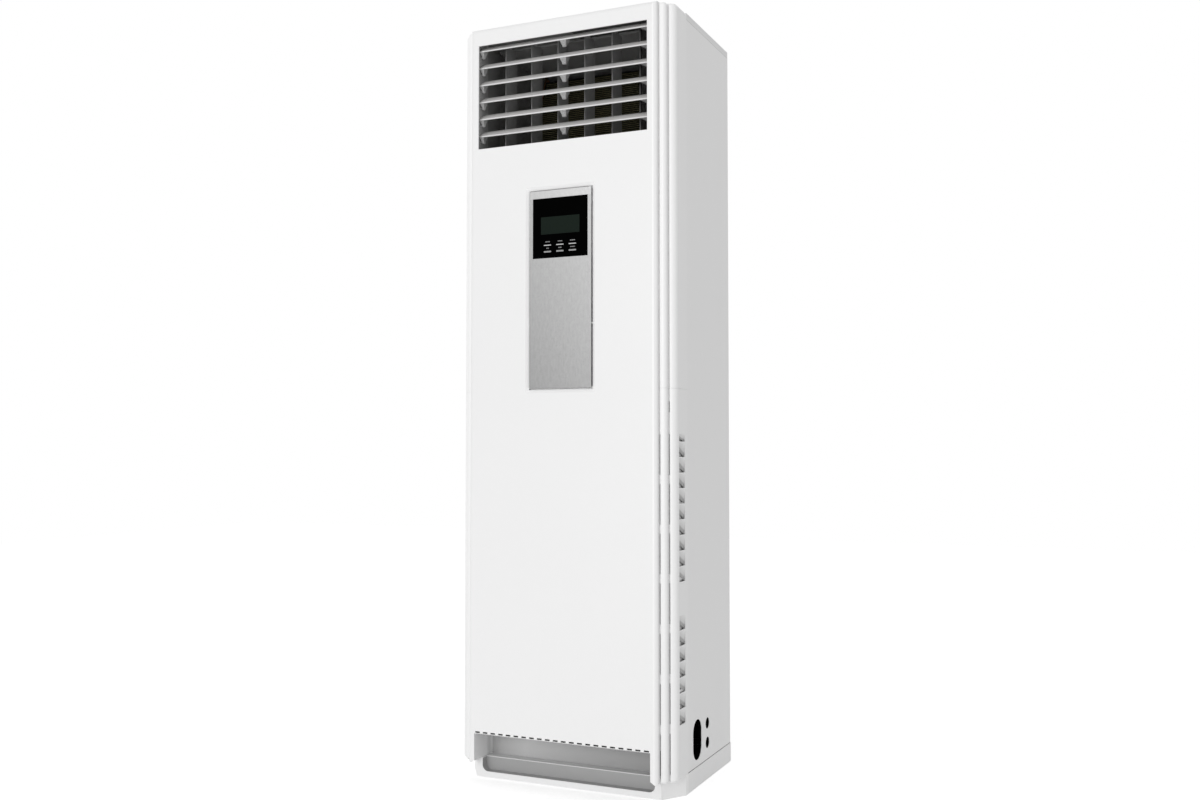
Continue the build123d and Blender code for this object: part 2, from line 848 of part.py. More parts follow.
def make_blade(index):
    half = frame_half - blade_end_gap
    blade = extrude(blade_plane(index, -half) * blade_section(), amount=2 * half)
    notch_half = link_thick / 2 + link_side_gap
    notch_left = link_x - notch_half
    notch = rectangle((blade_rear - notch_depth, blade_chord), (0, blade_chord))
    foot = half - ear_foot_inset
    blade += make_ear(index, (-half, left_ear_width - half), (-foot, ear_foot - foot))
    blade += make_ear(
        index, (-middle_ear_width / 2, middle_ear_width / 2), (-middle_ear_foot / 2, middle_ear_foot / 2)
    )
    blade += make_ear(index, (half - right_ear_width, half), (foot - ear_foot, foot))
    blade -= extrude(blade_plane(index, notch_left) * notch, amount=2 * notch_half)
    blade += extrude(blade_plane(index, notch_left - lug_thick) * lug_section(), amount=lug_thick)
    y, z = blade_pivot(index)
    blade += rod_x(pin_r, -frame_half - frame_wall, ear_foot / 2 - foot, y, z)
    blade += rod_x(pin_r, foot - ear_foot / 2, frame_half + frame_wall, y, z)
    pin = Pos(link_pin_reach, link_pin_rise) * Circle(link_pin_r)
    return blade + extrude(blade_plane(index, notch_left) * pin, amount=notch_half + link_thick / 2)


def make_blade_link():
    # an upright bar behind the blades; its holes hold the blades' link pins
    low = blade_plane(blade_count - 1, 0).from_local_coords((link_pin_reach, link_pin_rise, 0))
    high = blade_plane(0, 0).from_local_coords((link_pin_reach, link_pin_rise, 0))
    length = high.Z - low.Z
    bar = Pos(low.Y, (low.Z + high.Z) / 2) * SlotOverall(length + link_width, link_width, rotation=90)
    for index in range(blade_count):
        place = blade_plane(index, 0).from_local_coords((link_pin_reach, link_pin_rise, 0))
        gap = pivot_gap if index == 0 else link_gap
        bar -= Pos(place.Y, place.Z) * Circle(link_pin_r + gap)
    return extrude(facing_right(link_x - link_thick / 2) * bar, amount=link_thick)


def vane_x(index):
    return (index - (vane_count - 1) / 2) * vane_pitch


def make_vane(index):
    # an upright plate that turns on pins at its top and bottom
    x = vane_x(index)
    back = vane_front + vane_chord
    side = rectangle((vane_front, back), (vane_bottom, vane_top))
    side = fillet(side.vertices(), vane_round)
    vane = extrude(facing_right(x - vane_thick / 2) * side, amount=vane_thick)
    for low, high in ((vane_bottom, vane_bottom + vane_boss_r), (vane_top - vane_boss_r, vane_top)):
        vane += rod_z(vane_boss_r, low, high, x, vane_y)
    lead = index == vane_count - 1
    foot = frame_bottom - frame_wall - (vane_motor_height / 2 if lead else 0)
    vane += rod_z(pin_r, foot, vane_bottom, x, vane_y)
    vane += rod_z(pin_r, vane_top, frame_top + frame_wall, x, vane_y)
    link_y = vane_y + vane_link_arm
    vane += rod_z(2 * link_pin_r, vane_bottom, vane_bottom + vane_boss_r, x, link_y)
    pin_low = frame_bottom + vane_link_lift
    return vane + rod_z(link_pin_r, pin_low, vane_bottom, x, link_y)


def make_vane_link():
    # a flat bar under the vanes; its holes hold the vanes' link pins
    link_y = vane_y + vane_link_arm
    length = vane_x(vane_count - 1) - vane_x(0) + vane_link_width
    bar = Pos(0, link_y) * SlotOverall(length, vane_link_width)
    for index in range(vane_count):
        gap = pivot_gap if index == vane_count - 1 else link_gap
        bar -= Pos(vane_x(index), link_y) * Circle(link_pin_r + gap)
    return extrude(Pos(0, 0, frame_bottom + vane_link_lift) * bar, amount=link_thick)


def make_outlet_frame():
    depth = (front_y + panel_wall, frame_back)
    outer_half = frame_half + frame_wall
    low, high = frame_bottom - frame_wall, frame_top + frame_wall
    frame = block((-outer_half, outer_half), depth, (low, high))
    lip_half = outer_half + frame_lip
    lip_depth = (depth[0], depth[0] + frame_lip_thick)
    frame += block((-lip_half, lip_half), lip_depth, (low - frame_lip, high + frame_lip))
    frame -= block((-frame_half, frame_half), (depth[0] - over, frame_back + over), (frame_bottom, frame_top))
    for index in range(blade_count):
        y, z = blade_pivot(index)
        frame -= rod_x(pin_r + pivot_gap, -outer_half - over, outer_half + over, y, z)
    for index in range(vane_count):
        frame -= rod_z(pin_r + pivot_gap, low - over, high + over, vane_x(index), vane_y)
    return frame


def make_vane_motor():
    # a small geared motor under the frame, with an ear each side
    x = vane_x(vane_count - 1)
    top = frame_bottom - frame_wall
    motor = rod_z(vane_motor_r, top - vane_motor_height, top, x, vane_y)
    ears = SlotOverall(2 * vane_motor_ear, vane_motor_r / 2)
    motor += extrude(Pos(x, vane_y, top - sheet) * ears, amount=sheet)
    bore_depth = vane_motor_height / 2 + joint_gap
    return motor - rod_z(pin_r + pivot_gap, top - bore_depth, top + over, x, vane_y)


# ---------------------------------------------------------------- evaporator and duct

def coil_plane(x):
    # sketches on it are (through the coil to the back, up along the coil)
    foot_y = coil_front
    foot_z = coil_foot_z + coil_thick * sin(lean)
    return Plane((x, foot_y, foot_z), x_dir=(0, cos(lean), -sin(lean)), z_dir=(1, 0, 0))


def coil_point(along):
    return coil_plane(0).from_local_coords((coil_thick / 2, along, 0))


def make_fins():
    # a spine with fins on both faces
    pitch = 2 * (coil_half - fin_thick / 2) / (fin_count - 1)
    middle = coil_thick / 2
    comb = rectangle((-coil_half, coil_half), (middle - coil_spine / 2, middle + coil_spine / 2))
    fins = []
    for index in range(fin_count):
        left = -coil_half + index * pitch
        fins.append(rectangle((left, left + fin_thick), (0, coil_thick)))
    comb = comb + fins
    foot = coil_plane(0)
    lying = Plane(foot.origin, x_dir=(1, 0, 0), z_dir=foot.y_dir)
    return extrude(lying * comb, amount=coil_length)


def hairpin(side, along):
    # a return bend that leaves the end plate and comes back to it
    near = coil_plane(side * (coil_half + end_plate))
    far = coil_plane(side * (coil_half + end_plate + bend_r))
    low, high = along - bend_r, along + bend_r
    turns = ((near, low), (far, low), (far, high), (near, high))
    points = [plane.from_local_coords((coil_thick / 2, place, 0)) for plane, place in turns]
    section = Plane(points[0], z_dir=(side, 0, 0)) * Circle(tube_r)
    return sweep(section, path=Polyline(*points), transition=Transition.RIGHT)


def make_coil_ends():
    parts = []
    for side in (-1, 1):
        start = coil_half if side > 0 else -coil_half - end_plate
        plate = rectangle((0, coil_thick), (0, coil_length))
        solid = extrude(coil_plane(start) * plate, amount=end_plate)
        for index in range(bend_count):
            solid += hairpin(side, bend_first + index * bend_pitch)
        parts.append(solid)
    return parts[0] + parts[1]


def make_duct():
    # a foam tube on the fan deck, closed at the top, with a window for the outlet frame
    base = deck_z + deck_thick
    outer = rectangle((-duct_half, duct_half), (duct_front, duct_back))
    inner = rectangle((-duct_inner_half, duct_inner_half), (duct_front + duct_wall, duct_back - duct_wall))
    inner = fillet(inner.vertices().group_by(Axis.Y)[-1], duct_round)
    duct = extrude(Pos(0, 0, base) * outer, amount=duct_top - base)
    duct -= extrude(Pos(0, 0, base) * inner, amount=ceiling - base)
    front = duct_front + duct_wall
    ledge_depth = (front, front + duct_ledge)
    duct += block((-duct_inner_half, duct_inner_half), ledge_depth, (pan_z - duct_ledge, pan_z))
    opening = frame_half + frame_wall + joint_gap
    duct -= block(
        (-opening, opening),
        (duct_front - over, front),
        (frame_bottom - frame_wall - joint_gap, frame_top + frame_wall + joint_gap),
    )
    for y, z, radius in pipe_starts():
        duct -= rod_x(radius + hole_gap, duct_inner_half - over, duct_half + over, y, z)
    return duct


def make_pan():
    # a trough under the coil's foot
    half = duct_inner_half - joint_gap
    front = duct_front + duct_wall + joint_gap
    outer = rectangle((front, front + pan_depth), (pan_z, pan_z + pan_height))
    inner = rectangle(
        (front + pan_wall, front + pan_depth - pan_wall), (pan_z + pan_wall, pan_z + pan_height + over)
    )
    inner = fillet(inner.vertices().group_by(Axis.Y)[0], 2 * pan_wall)
    pan = extrude(facing_right(-half) * outer, amount=2 * half)
    return pan - extrude(facing_right(-half + pan_wall) * inner, amount=2 * (half - pan_wall))


def pipe_starts():
    # where each pipe goes out through the duct's right-hand wall
    gas = coil_point(gas_pipe_place)
    liquid = coil_point(liquid_pipe_place)
    yield gas.Y, gas.Z, gas_pipe_r
    yield liquid.Y, liquid.Z, liquid_pipe_r
    yield drain_pipe_y, pan_z + pan_height / 2, drain_pipe_r


def pipe(start_x, y, z, radius, end_z):
    # out to the right, round one bend and down the side channel
    path = FilletPolyline((start_x, y, z), (channel_x, y, z), (channel_x, y, end_z), radius=pipe_bend)
    tube = sweep(Plane((start_x, y, z), z_dir=(1, 0, 0)) * Circle(radius), path=path)
    return tube - rod_z(radius - pipe_wall, end_z - over, end_z + pipe_bore_depth, channel_x, y)


def flared_pipe(y, z, radius):
    # a copper pipe with its flare nut
    tube = pipe(coil_half + end_plate, y, z, radius, pipe_end_z)
    section = RegularPolygon(radius + nut_wall, 6) - Circle(radius - pipe_wall)
    return tube + extrude(Pos(channel_x, y, pipe_end_z - nut_height / 2) * section, amount=nut_height)


# ---------------------------------------------------------------- blower

def scroll_view(inset, reach):
    # front view of the scroll: three tangent arcs about the corners of a square round the
    # axis, each a step larger than the last, and an upright neck
    shift = scroll_step / 2
    mouth_r = scroll_end_r - shift - inset
    floor_arc = CenterArc((shift, fan_z + shift), mouth_r, 270, 90)
    left_arc = CenterArc((shift, fan_z - shift), mouth_r - scroll_step, 180, 90)
    tongue_arc = CenterArc(
        (-shift, fan_z - shift), mouth_r - 2 * scroll_step, scroll_tongue, 180 - scroll_tongue
    )
    start, end = tongue_arc @ 0, floor_arc @ 1
    neck = Polyline(end, (end.X, reach), (start.X, reach), start)
    return make_face([tongue_arc, left_arc, floor_arc, neck])


def make_scroll():
    length = scroll_back - scroll_front
    inside = extrude(
        facing_front(scroll_back - scroll_wall) * scroll_view(scroll_wall, deck_z + scroll_wall),
        amount=length - 2 * scroll_wall,
    )
    shell = extrude(facing_front(scroll_back) * scroll_view(0, deck_z), amount=length) - inside
    inlet = inlet_r + bell_round + bell_wall + joint_gap
    shell -= rod_y(inlet, scroll_front - over, scroll_front + scroll_wall + over, 0, fan_z)
    return shell - rod_y(motor_hole_r, scroll_back - scroll_wall - over, scroll_back + over, 0, fan_z)


def make_bellmouth():
    # a flared ring on the front of the scroll that leads the air into the wheel
    outer_round = bell_round + bell_wall
    flare_x, mouth = inlet_r + outer_round, scroll_front + bell_round
    lip = scroll_front - bell_wall
    inside, outside = [], []
    for step in range(bell_steps + 1):
        angle = pi / 2 * step / bell_steps
        inside.append((flare_x - outer_round * cos(angle), mouth - outer_round * sin(angle)))
        outside.append((flare_x - bell_round * cos(angle), mouth - bell_round * sin(angle)))
    rim = [(flare_x + bell_flange, lip), (flare_x + bell_flange, scroll_front)]
    ring = revolve(outline(*inside, *rim, *reversed(outside)), axis=Axis.Y, revolution_arc=360)
    return Pos(0, 0, fan_z) * ring


def fan_blade():
    # one forward-curved blade, as a thin crescent in front view
    foot_r = wheel_r - blade_ring
    lag = radians(fan_blade_lean)
    foot = (foot_r * cos(lag), -foot_r * sin(lag))
    tip = (wheel_r, 0)
    middle = ((foot[0] + tip[0]) / 2, (foot[1] + tip[1]) / 2 - fan_blade_bow)
    thick = fan_blade_thick
    lower = ThreePointArc(foot, middle, tip)
    upper = ThreePointArc((tip[0], thick), (middle[0], middle[1] + thick), (foot[0], foot[1] + thick))
    return make_face([lower, Line(tip, (tip[0], thick)), upper, Line((foot[0], foot[1] + thick), foot)])


def make_wheel():
    blade = extrude(facing_front(wheel_back) * fan_blade(), amount=wheel_back - wheel_front)
    blades = [Rot(0, 360 / fan_blades * index, 0) * blade for index in range(fan_blades)]
    disc = rod_y(wheel_r, wheel_back - wheel_disc, wheel_back, 0, 0)
    ring = rod_y(wheel_r + fan_blade_thick, wheel_front, wheel_front + wheel_ring, 0, 0)
    ring -= rod_y(wheel_r - blade_ring / 2, wheel_front, wheel_front + wheel_ring, 0, 0)
    hub = rod_y(hub_r, wheel_back - hub_length, wheel_back, 0, 0)
    wheel = disc + ring + hub + blades
    wheel -= rod_y(shaft_r + pivot_gap / 2, wheel_back - hub_length - over, wheel_back + over, 0, 0)
    return Pos(0, 0, fan_z) * wheel


def make_shaft():
    return rod_y(shaft_r, wheel_back - hub_length, motor_front + motor_length - 2 * shaft_r, 0, fan_z)


def make_motor():
    # a closed motor with a bevelled shoulder and a bore for its shaft
    body = rod_y(motor_r, motor_front, motor_front + motor_length, 0, fan_z)
    body = chamfer(body.edges().sort_by(Axis.Y)[-1], shaft_r)
    body += rod_y(motor_hole_r, motor_front, motor_front + bracket_thick, 0, fan_z)
    bore_end = motor_front + motor_length - 2 * shaft_r + joint_gap
    return body - rod_y(shaft_r + pivot_gap, motor_front - over, bore_end, 0, fan_z)


def make_bracket():
    # a cross of four arms between the scroll and the motor
    arms = Circle(motor_hole_r)
    for turn in (45, 135):
        arms += Rot(0, 0, turn) * Rectangle(2 * bracket_r, bracket_arm)
    arms -= Circle(hub_r)
    return extrude(facing_front(motor_front) * Pos(0, fan_z) * arms, amount=bracket_thick)


def make_deck():
    # a flanged sheet across the cabinet with the scroll's outlet and a notch for the pipes
    half = half_width - sheet
    deck_back = back_y - 2 * sheet - bend_round
    deck = block((-half, half), (deck_front, deck_back), (deck_z, deck_z + deck_thick))
    for x in (-half, half - deck_thick):
        deck += block((x, x + deck_thick), (deck_front, deck_back), (deck_z - deck_flange, deck_z))
    mouth = scroll_view(scroll_wall, deck_z).bounding_box()
    tongue = scroll_view(scroll_wall, deck_z).vertices().group_by(Axis.Y)[-1].sort_by(Axis.X)[0]
    outlet_y = (scroll_front + scroll_wall, scroll_back - scroll_wall)
    deck -= block((tongue.X, mouth.max.X), outlet_y, (deck_z - over, deck_z + deck_thick + over))
    for x in (-1, 1):
        deck -= post_clearance(x)
    for y, _, radius in pipe_starts():
        deck -= rod_z(radius + hole_gap, deck_z - over, deck_z + deck_thick + over, channel_x, y)
    return deck


def post_clearance(side):
    # the deck's front corners stay clear of the posts and the side panels' front flanges
    near, far = panel_half - seat_lap - joint_gap, half_width + over
    x = (near, far) if side > 0 else (-far, -near)
    y = (front_y, post_back + sheet + joint_gap)
    return block(x, y, (deck_z - deck_flange - over, deck_z + deck_thick + over))


# ---------------------------------------------------------------- filters and electrics

def make_filter():
    # a flat frame with cross bars over a fine net, behind the intake louvres
    outer_x = half_width - post_wall - joint_gap
    x = (outer_x - filter_thick, outer_x)
    back = post_back - 2 * joint_gap
    low = low_scoops_bottom - filter_margin
    high = high_scoops_bottom + high_scoops * scoop_pitch + half_scoop_height + filter_margin
    frame = rectangle((filter_front, back), (low, high))
    step = (high - low - filter_rim) / filter_bars
    for index in range(filter_bars):
        start = low + filter_rim + index * step
        cell = (start, start + step - filter_rim)
        frame -= rectangle((filter_front + filter_rim, back - filter_rim), cell)
    solid = extrude(facing_right(x[0]) * frame, amount=filter_thick)
    return solid + block((x[0], x[0] + filter_net), (filter_front, back), (low, high))


def make_electric_box():
    back = duct_front
    box = block((-box_half, box_half), (back - box_depth, back), (box_bottom, box_top))
    return box - block(
        (-box_half + box_sheet, box_half - box_sheet),
        (back - box_depth - over, back - box_sheet),
        (box_bottom + box_sheet, box_top - box_sheet),
    )


def make_box_cover():
    front = duct_front - box_depth - box_sheet
    return block((-box_half, box_half), (front, front + box_sheet), (box_bottom, box_top))


def make_main_board():
    # a circuit board on four pillars, with its tall parts
    back = duct_front - box_sheet
    face = back - circuit_standoff
    half = box_half - circuit_margin
    low, high = box_bottom + circuit_margin, box_top - circuit_margin
    board = block((-half, half), (face - board_thick, face), (low, high))
    for x in (-half + circuit_margin, half - circuit_margin):
        for z in (low + circuit_margin, high - circuit_margin):
            board += rod_y(switch_half, face, back, x, z)
    tall_x = half / 2
    tall_z = high - 2 * circuit_margin
    board += rod_y(circuit_margin, face - 3 * circuit_margin, face - board_thick, tall_x, tall_z)
    relay_depth = (face - 2 * circuit_margin, face - board_thick)
    return board + centred(-tall_x, tall_z, 3 * circuit_margin, 2 * circuit_margin, relay_depth)


def make_terminal_block():
    # a row of screw clamps on the board
    face = duct_front - box_sheet - circuit_standoff - board_thick
    z = box_bottom + 2 * circuit_margin
    strip = centred(0, z, terminal_length, terminal_height, (face - terminal_height, face))
    wide = terminal_length / terminal_cells
    cell_depth = (face - terminal_height, face - terminal_height / 2)
    for index in range(terminal_cells):
        x = (index - (terminal_cells - 1) / 2) * wide
        strip -= centred(x, z, wide - 2 * board_thick, terminal_height / 2, cell_depth)
    return strip


def all_parts():
    lower_post = make_lower_post()
    upper_post = make_post(post_seam, cabinet_height, False)
    filter_frame = make_filter()
    (gas, liquid, drain) = pipe_starts()
    parts = {
        "base_tray": make_base(),
        "toe_recess": make_toe_recess(),
        "front_panel": make_front_panel(),
        "right_lower_post": lower_post,
        "left_lower_post": mirrored(lower_post),
        "right_upper_post": upper_post,
        "left_upper_post": mirrored(upper_post),
        "right_side_panel": make_right_side_panel(),
        "left_side_panel": mirrored(make_side_panel()),
        "back_panel": make_back_panel(),
        "top_cover": make_top_cover(),
        "control_plate": make_control_plate(),
        "display_window": make_display_window(),
        "lcd_module": make_lcd(),
        "key_board": make_key_board(),
        "control_housing": make_control_housing(),
        "outlet_frame": make_outlet_frame(),
        "louvre_link": make_blade_link(),
        "vane_link": make_vane_link(),
        "vane_motor": make_vane_motor(),
        "air_duct": make_duct(),
        "evaporator_fins": make_fins(),
        "evaporator_tubes": make_coil_ends(),
        "drain_pan": make_pan(),
        "gas_pipe": flared_pipe(*gas),
        "liquid_pipe": flared_pipe(*liquid),
        "drain_pipe": pipe(duct_inner_half - joint_gap, *drain, drain_end_z),
        "fan_deck": make_deck(),
        "scroll_housing": make_scroll(),
        "inlet_bellmouth": make_bellmouth(),
        "fan_wheel": make_wheel(),
        "fan_shaft": make_shaft(),
        "fan_motor": make_motor(),
        "motor_bracket": make_bracket(),
        "right_filter": filter_frame,
        "left_filter": mirrored(filter_frame),
        "electric_box": make_electric_box(),
        "electric_box_cover": make_box_cover(),
        "main_board": make_main_board(),
        "terminal_block": make_terminal_block(),
    }
    for index, (x, z, height) in enumerate(key_places()):
        parts[f"key_{index + 1}"] = make_key(x, z, height)
    for index in range(blade_count):
        parts[f"louvre_{index + 1}"] = make_blade(index)
    for index in range(vane_count):
        parts[f"vane_{index + 1}"] = make_vane(index)
    return parts


os.makedirs("parts", exist_ok=True)
for name, part in all_parts().items():
    export_step(part, f"parts/{name}.step")
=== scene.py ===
from math import cos, radians, sin

import bmesh
import bpy
from mathutils import Matrix, Vector


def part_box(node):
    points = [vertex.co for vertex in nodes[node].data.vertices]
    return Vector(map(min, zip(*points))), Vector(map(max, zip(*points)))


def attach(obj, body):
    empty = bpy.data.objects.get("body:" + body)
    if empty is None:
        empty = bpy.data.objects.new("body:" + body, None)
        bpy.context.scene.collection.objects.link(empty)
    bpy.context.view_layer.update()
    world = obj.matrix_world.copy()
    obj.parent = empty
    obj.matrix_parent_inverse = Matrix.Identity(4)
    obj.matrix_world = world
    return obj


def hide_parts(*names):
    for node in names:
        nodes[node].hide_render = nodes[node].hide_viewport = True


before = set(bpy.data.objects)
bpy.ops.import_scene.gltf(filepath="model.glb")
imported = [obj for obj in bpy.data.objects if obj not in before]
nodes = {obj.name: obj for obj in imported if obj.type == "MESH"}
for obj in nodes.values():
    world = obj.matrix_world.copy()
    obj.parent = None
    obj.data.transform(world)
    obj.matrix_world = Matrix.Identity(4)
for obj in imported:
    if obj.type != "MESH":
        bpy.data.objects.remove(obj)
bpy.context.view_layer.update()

# lengths are in metres and angles in degrees, unless a note says otherwise
print("frame loaded,", len(nodes), "nodes")


def addNode(tree, kind, **settings):
    node = tree.nodes.new(kind)
    for key, value in settings.items():
        if key in node.inputs:
            node.inputs[key].default_value = value
        else:
            setattr(node, key, value)
    return node


def reckoned(tree, operation, *values):
    node = addNode(tree, "ShaderNodeMath", operation=operation)
    for socket, value in zip(node.inputs, values):
        if isinstance(value, float):
            socket.default_value = value
        else:
            tree.links.new(value, socket)
    return node.outputs[0]


cameraPlace = {
    "location": (1.19759, -2.63228, 0.78212),
    "turn": 24.309,           # round from the front, to the right
    "pitch": 2.222,           # upwards
    "lens": 35.414,           # millimetres, as the sensor
    "sensor": 36.0,
    "nearest": 0.02,          # nothing nearer or further is seen
    "furthest": 60.0,
}


def placeCamera():
    lens = bpy.data.cameras.new("camera")
    lens.sensor_width = cameraPlace["sensor"]
    lens.lens = cameraPlace["lens"]
    lens.clip_start = cameraPlace["nearest"]
    lens.clip_end = cameraPlace["furthest"]
    camera = bpy.data.objects.new("camera", lens)
    camera.location = cameraPlace["location"]
    camera.rotation_euler = (radians(90 + cameraPlace["pitch"]), 0, radians(cameraPlace["turn"]))
    bpy.context.scene.collection.objects.link(camera)
    bpy.context.scene.camera = camera


studio = {
    "surround": 0.60,         # even light from all round
    "background": 1.0,        # what the camera and the gloss see behind the object
    "softboxPower": 205.0,
    "softboxSize": 4.0,
    "softboxPlace": (-0.6, -8.0, 1.7),
    "aimAt": (0.0, -0.2, 0.9),
    "floorSize": 14.0,
    "floorDrop": 0.0005,      # the floor lies this far under the object
    "floorTones": (0.92, 0.93),
    "floorCloud": 0.7,        # noise scale of the floor's slow change of tone
    "floorLift": 0.46,        # added for the camera alone, so that the floor meets the background
}


def seenDirectly(tree):
    # 1 for rays from the camera, from gloss and through glass
    rays = addNode(tree, "ShaderNodeLightPath").outputs
    either = reckoned(tree, "MAXIMUM", rays["Is Camera Ray"], rays["Is Glossy Ray"])
    return reckoned(tree, "MAXIMUM", either, rays["Is Transmission Ray"])


def blended(tree, share, first, second):
    # the second shader where the share is 1
    mix = addNode(tree, "ShaderNodeMixShader")
    for socket, value in zip(mix.inputs, (share, first, second)):
        tree.links.new(value, socket)
    return mix.outputs[0]


def lightSurround():
    world = bpy.data.worlds.new("surround")
    world.use_nodes = True
    tree = world.node_tree
    tree.nodes.clear()
    output = addNode(tree, "ShaderNodeOutputWorld")
    white = (1, 1, 1, 1)
    soft = addNode(tree, "ShaderNodeBackground", Color=white, Strength=studio["surround"])
    backdrop = addNode(tree, "ShaderNodeBackground", Color=white, Strength=studio["background"])
    light = blended(tree, seenDirectly(tree), soft.outputs[0], backdrop.outputs[0])
    tree.links.new(light, output.inputs[0])
    bpy.context.scene.world = world


def hangSoftbox():
    lamp = bpy.data.lights.new("softbox", "AREA")
    lamp.shape = "SQUARE"
    lamp.size = studio["softboxSize"]
    lamp.energy = studio["softboxPower"]
    box = bpy.data.objects.new("softbox", lamp)
    box.location = studio["softboxPlace"]
    aim = Vector(studio["aimAt"]) - box.location
    box.rotation_euler = aim.to_track_quat("-Z", "Y").to_euler()
    bpy.context.scene.collection.objects.link(box)


def floorPaper():
    material = bpy.data.materials.new("palePaper")
    material.use_nodes = True
    tree = material.node_tree
    tree.nodes.clear()
    output = addNode(tree, "ShaderNodeOutputMaterial")
    place = addNode(tree, "ShaderNodeTexCoord")
    cloud = addNode(tree, "ShaderNodeTexNoise", Scale=studio["floorCloud"], Detail=2.0)
    tone = addNode(tree, "ShaderNodeValToRGB")
    for element, level in zip(tone.color_ramp.elements, studio["floorTones"]):
        element.color = (level, level, level, 1)
    paper = addNode(tree, "ShaderNodeBsdfDiffuse")
    lift = addNode(tree, "ShaderNodeEmission", Strength=studio["floorLift"])
    lifted = addNode(tree, "ShaderNodeAddShader")
    tree.links.new(place.outputs["Object"], cloud.inputs["Vector"])
    tree.links.new(cloud.outputs[0], tone.inputs[0])
    tree.links.new(tone.outputs[0], paper.inputs["Color"])
    tree.links.new(paper.outputs[0], lifted.inputs[0])
    tree.links.new(lift.outputs[0], lifted.inputs[1])
    seen = blended(tree, seenDirectly(tree), paper.outputs[0], lifted.outputs[0])
    tree.links.new(seen, output.inputs[0])
    return material


def layFloor():
    mesh = bmesh.new()
    bmesh.ops.create_grid(mesh, x_segments=2, y_segments=2, size=studio["floorSize"] / 2)
    bmesh.ops.translate(mesh, verts=mesh.verts, vec=(0, 0, -studio["floorDrop"]))
    data = bpy.data.meshes.new("floor")
    mesh.to_mesh(data)
    mesh.free()
    data.materials.append(floorPaper())
    floor = bpy.data.objects.new("floor", data)
    bpy.context.scene.collection.objects.link(floor)


placeCamera()
lightSurround()
hangSoftbox()
layFloor()
bpy.context.scene.view_settings.view_transform = "Standard"
print("camera, lamps and floor are in place")


def startFinish(name, look):
    material = bpy.data.materials.new(name)
    material.use_nodes = True
    tree = material.node_tree
    shader = tree.nodes["Principled BSDF"]
    shader.inputs["Metallic"].default_value = look.get("metallic", 0.0)
    shader.inputs["Specular IOR Level"].default_value = look.get("specular", 0.5)
    place = addNode(tree, "ShaderNodeTexCoord")
    return material, tree, shader, place.outputs["Object"]


def noiseOf(tree, place, scale, detail=2.0, stretch=None):
    noise = addNode(tree, "ShaderNodeTexNoise", Scale=scale, Detail=detail)
    if stretch:
        mapping = addNode(tree, "ShaderNodeMapping", Scale=stretch)
        tree.links.new(place, mapping.inputs["Vector"])
        place = mapping.outputs[0]
    tree.links.new(place, noise.inputs["Vector"])
    return noise.outputs[0]


noiseSpan = (0.3, 0.7)        # nearly all of a noise's values lie between these


def toned(tree, value, dark, light, span=noiseSpan):
    # dark where the value is low, light where it is high
    ramp = addNode(tree, "ShaderNodeValToRGB")
    for element, colour, at in zip(ramp.color_ramp.elements, (dark, light), span):
        element.color = (*colour, 1)
        element.position = at
    tree.links.new(value, ramp.inputs[0])
    return ramp.outputs[0]


def ranged(tree, value, low, high, start=noiseSpan[0], end=noiseSpan[1]):
    # low where the value is start, high where it is end
    limits = {"From Min": start, "From Max": end, "To Min": low, "To Max": high}
    spread = addNode(tree, "ShaderNodeMapRange", **limits)
    tree.links.new(value, spread.inputs["Value"])
    return spread.outputs[0]


def stepped(tree, value, start, end):
    # 0 at start, 1 at end
    return ranged(tree, value, 0.0, 1.0, start, end)


def bumped(tree, shader, value, strength, depth, under=None):
    # under is the relief that this one lies on
    bump = addNode(tree, "ShaderNodeBump", Strength=strength, Distance=depth)
    tree.links.new(value, bump.inputs["Height"])
    if under:
        tree.links.new(under, bump.inputs["Normal"])
    tree.links.new(bump.outputs[0], shader.inputs["Normal"])
    return bump.outputs[0]


def surfaced(tree, shader, look, colour, gloss, relief):
    # colour, roughness and relief go to the shader
    tree.links.new(colour, shader.inputs["Base Color"])
    tree.links.new(ranged(tree, gloss, *look["rough"]), shader.inputs["Roughness"])
    return bumped(tree, shader, relief, look["strength"], look["depth"])


def grey(level, warm=0.0):
    return (level * (1 + warm), level, level * (1 - warm))


def mixed(tree, share, first, second):
    # the second colour where the share is 1
    mix = addNode(tree, "ShaderNodeMix", data_type="RGBA")
    tree.links.new(share, mix.inputs[0])
    for socket, colour in zip(mix.inputs[6:8], (first, second)):      # its two colour sockets
        if isinstance(colour, tuple):
            socket.default_value = (*colour, 1)
        else:
            tree.links.new(colour, socket)
    return mix.outputs[2]


def axesOf(tree, place):
    split = addNode(tree, "ShaderNodeSeparateXYZ")
    tree.links.new(place, split.inputs[0])
    return split.outputs


def inside(tree, place, edge=0.0003, **limits):
    # 1 within the limits along x, y, z or side (the distance from the middle), 0 outside them;
    # edge is half the width of the change, and a limit may bring its own as a third number
    axes = axesOf(tree, place)
    share = None
    for axis, (low, high, *own) in limits.items():
        soft = own[0] if own else edge
        value = reckoned(tree, "ABSOLUTE", axes[0]) if axis == "side" else axes["xyz".index(axis)]
        steps = [] if low is None else [(low - soft, low + soft)]
        steps += [] if high is None else [(high + soft, high - soft)]
        for start, end in steps:
            step = stepped(tree, value, start, end)
            share = reckoned(tree, "MULTIPLY", share, step) if share else step
    return share


def regioned(tree, place, colour, regions):
    # each region is a grey and the limits that it keeps to
    for tone, limits in regions:
        colour = mixed(tree, inside(tree, place, **limits), colour, grey(tone))
    return colour


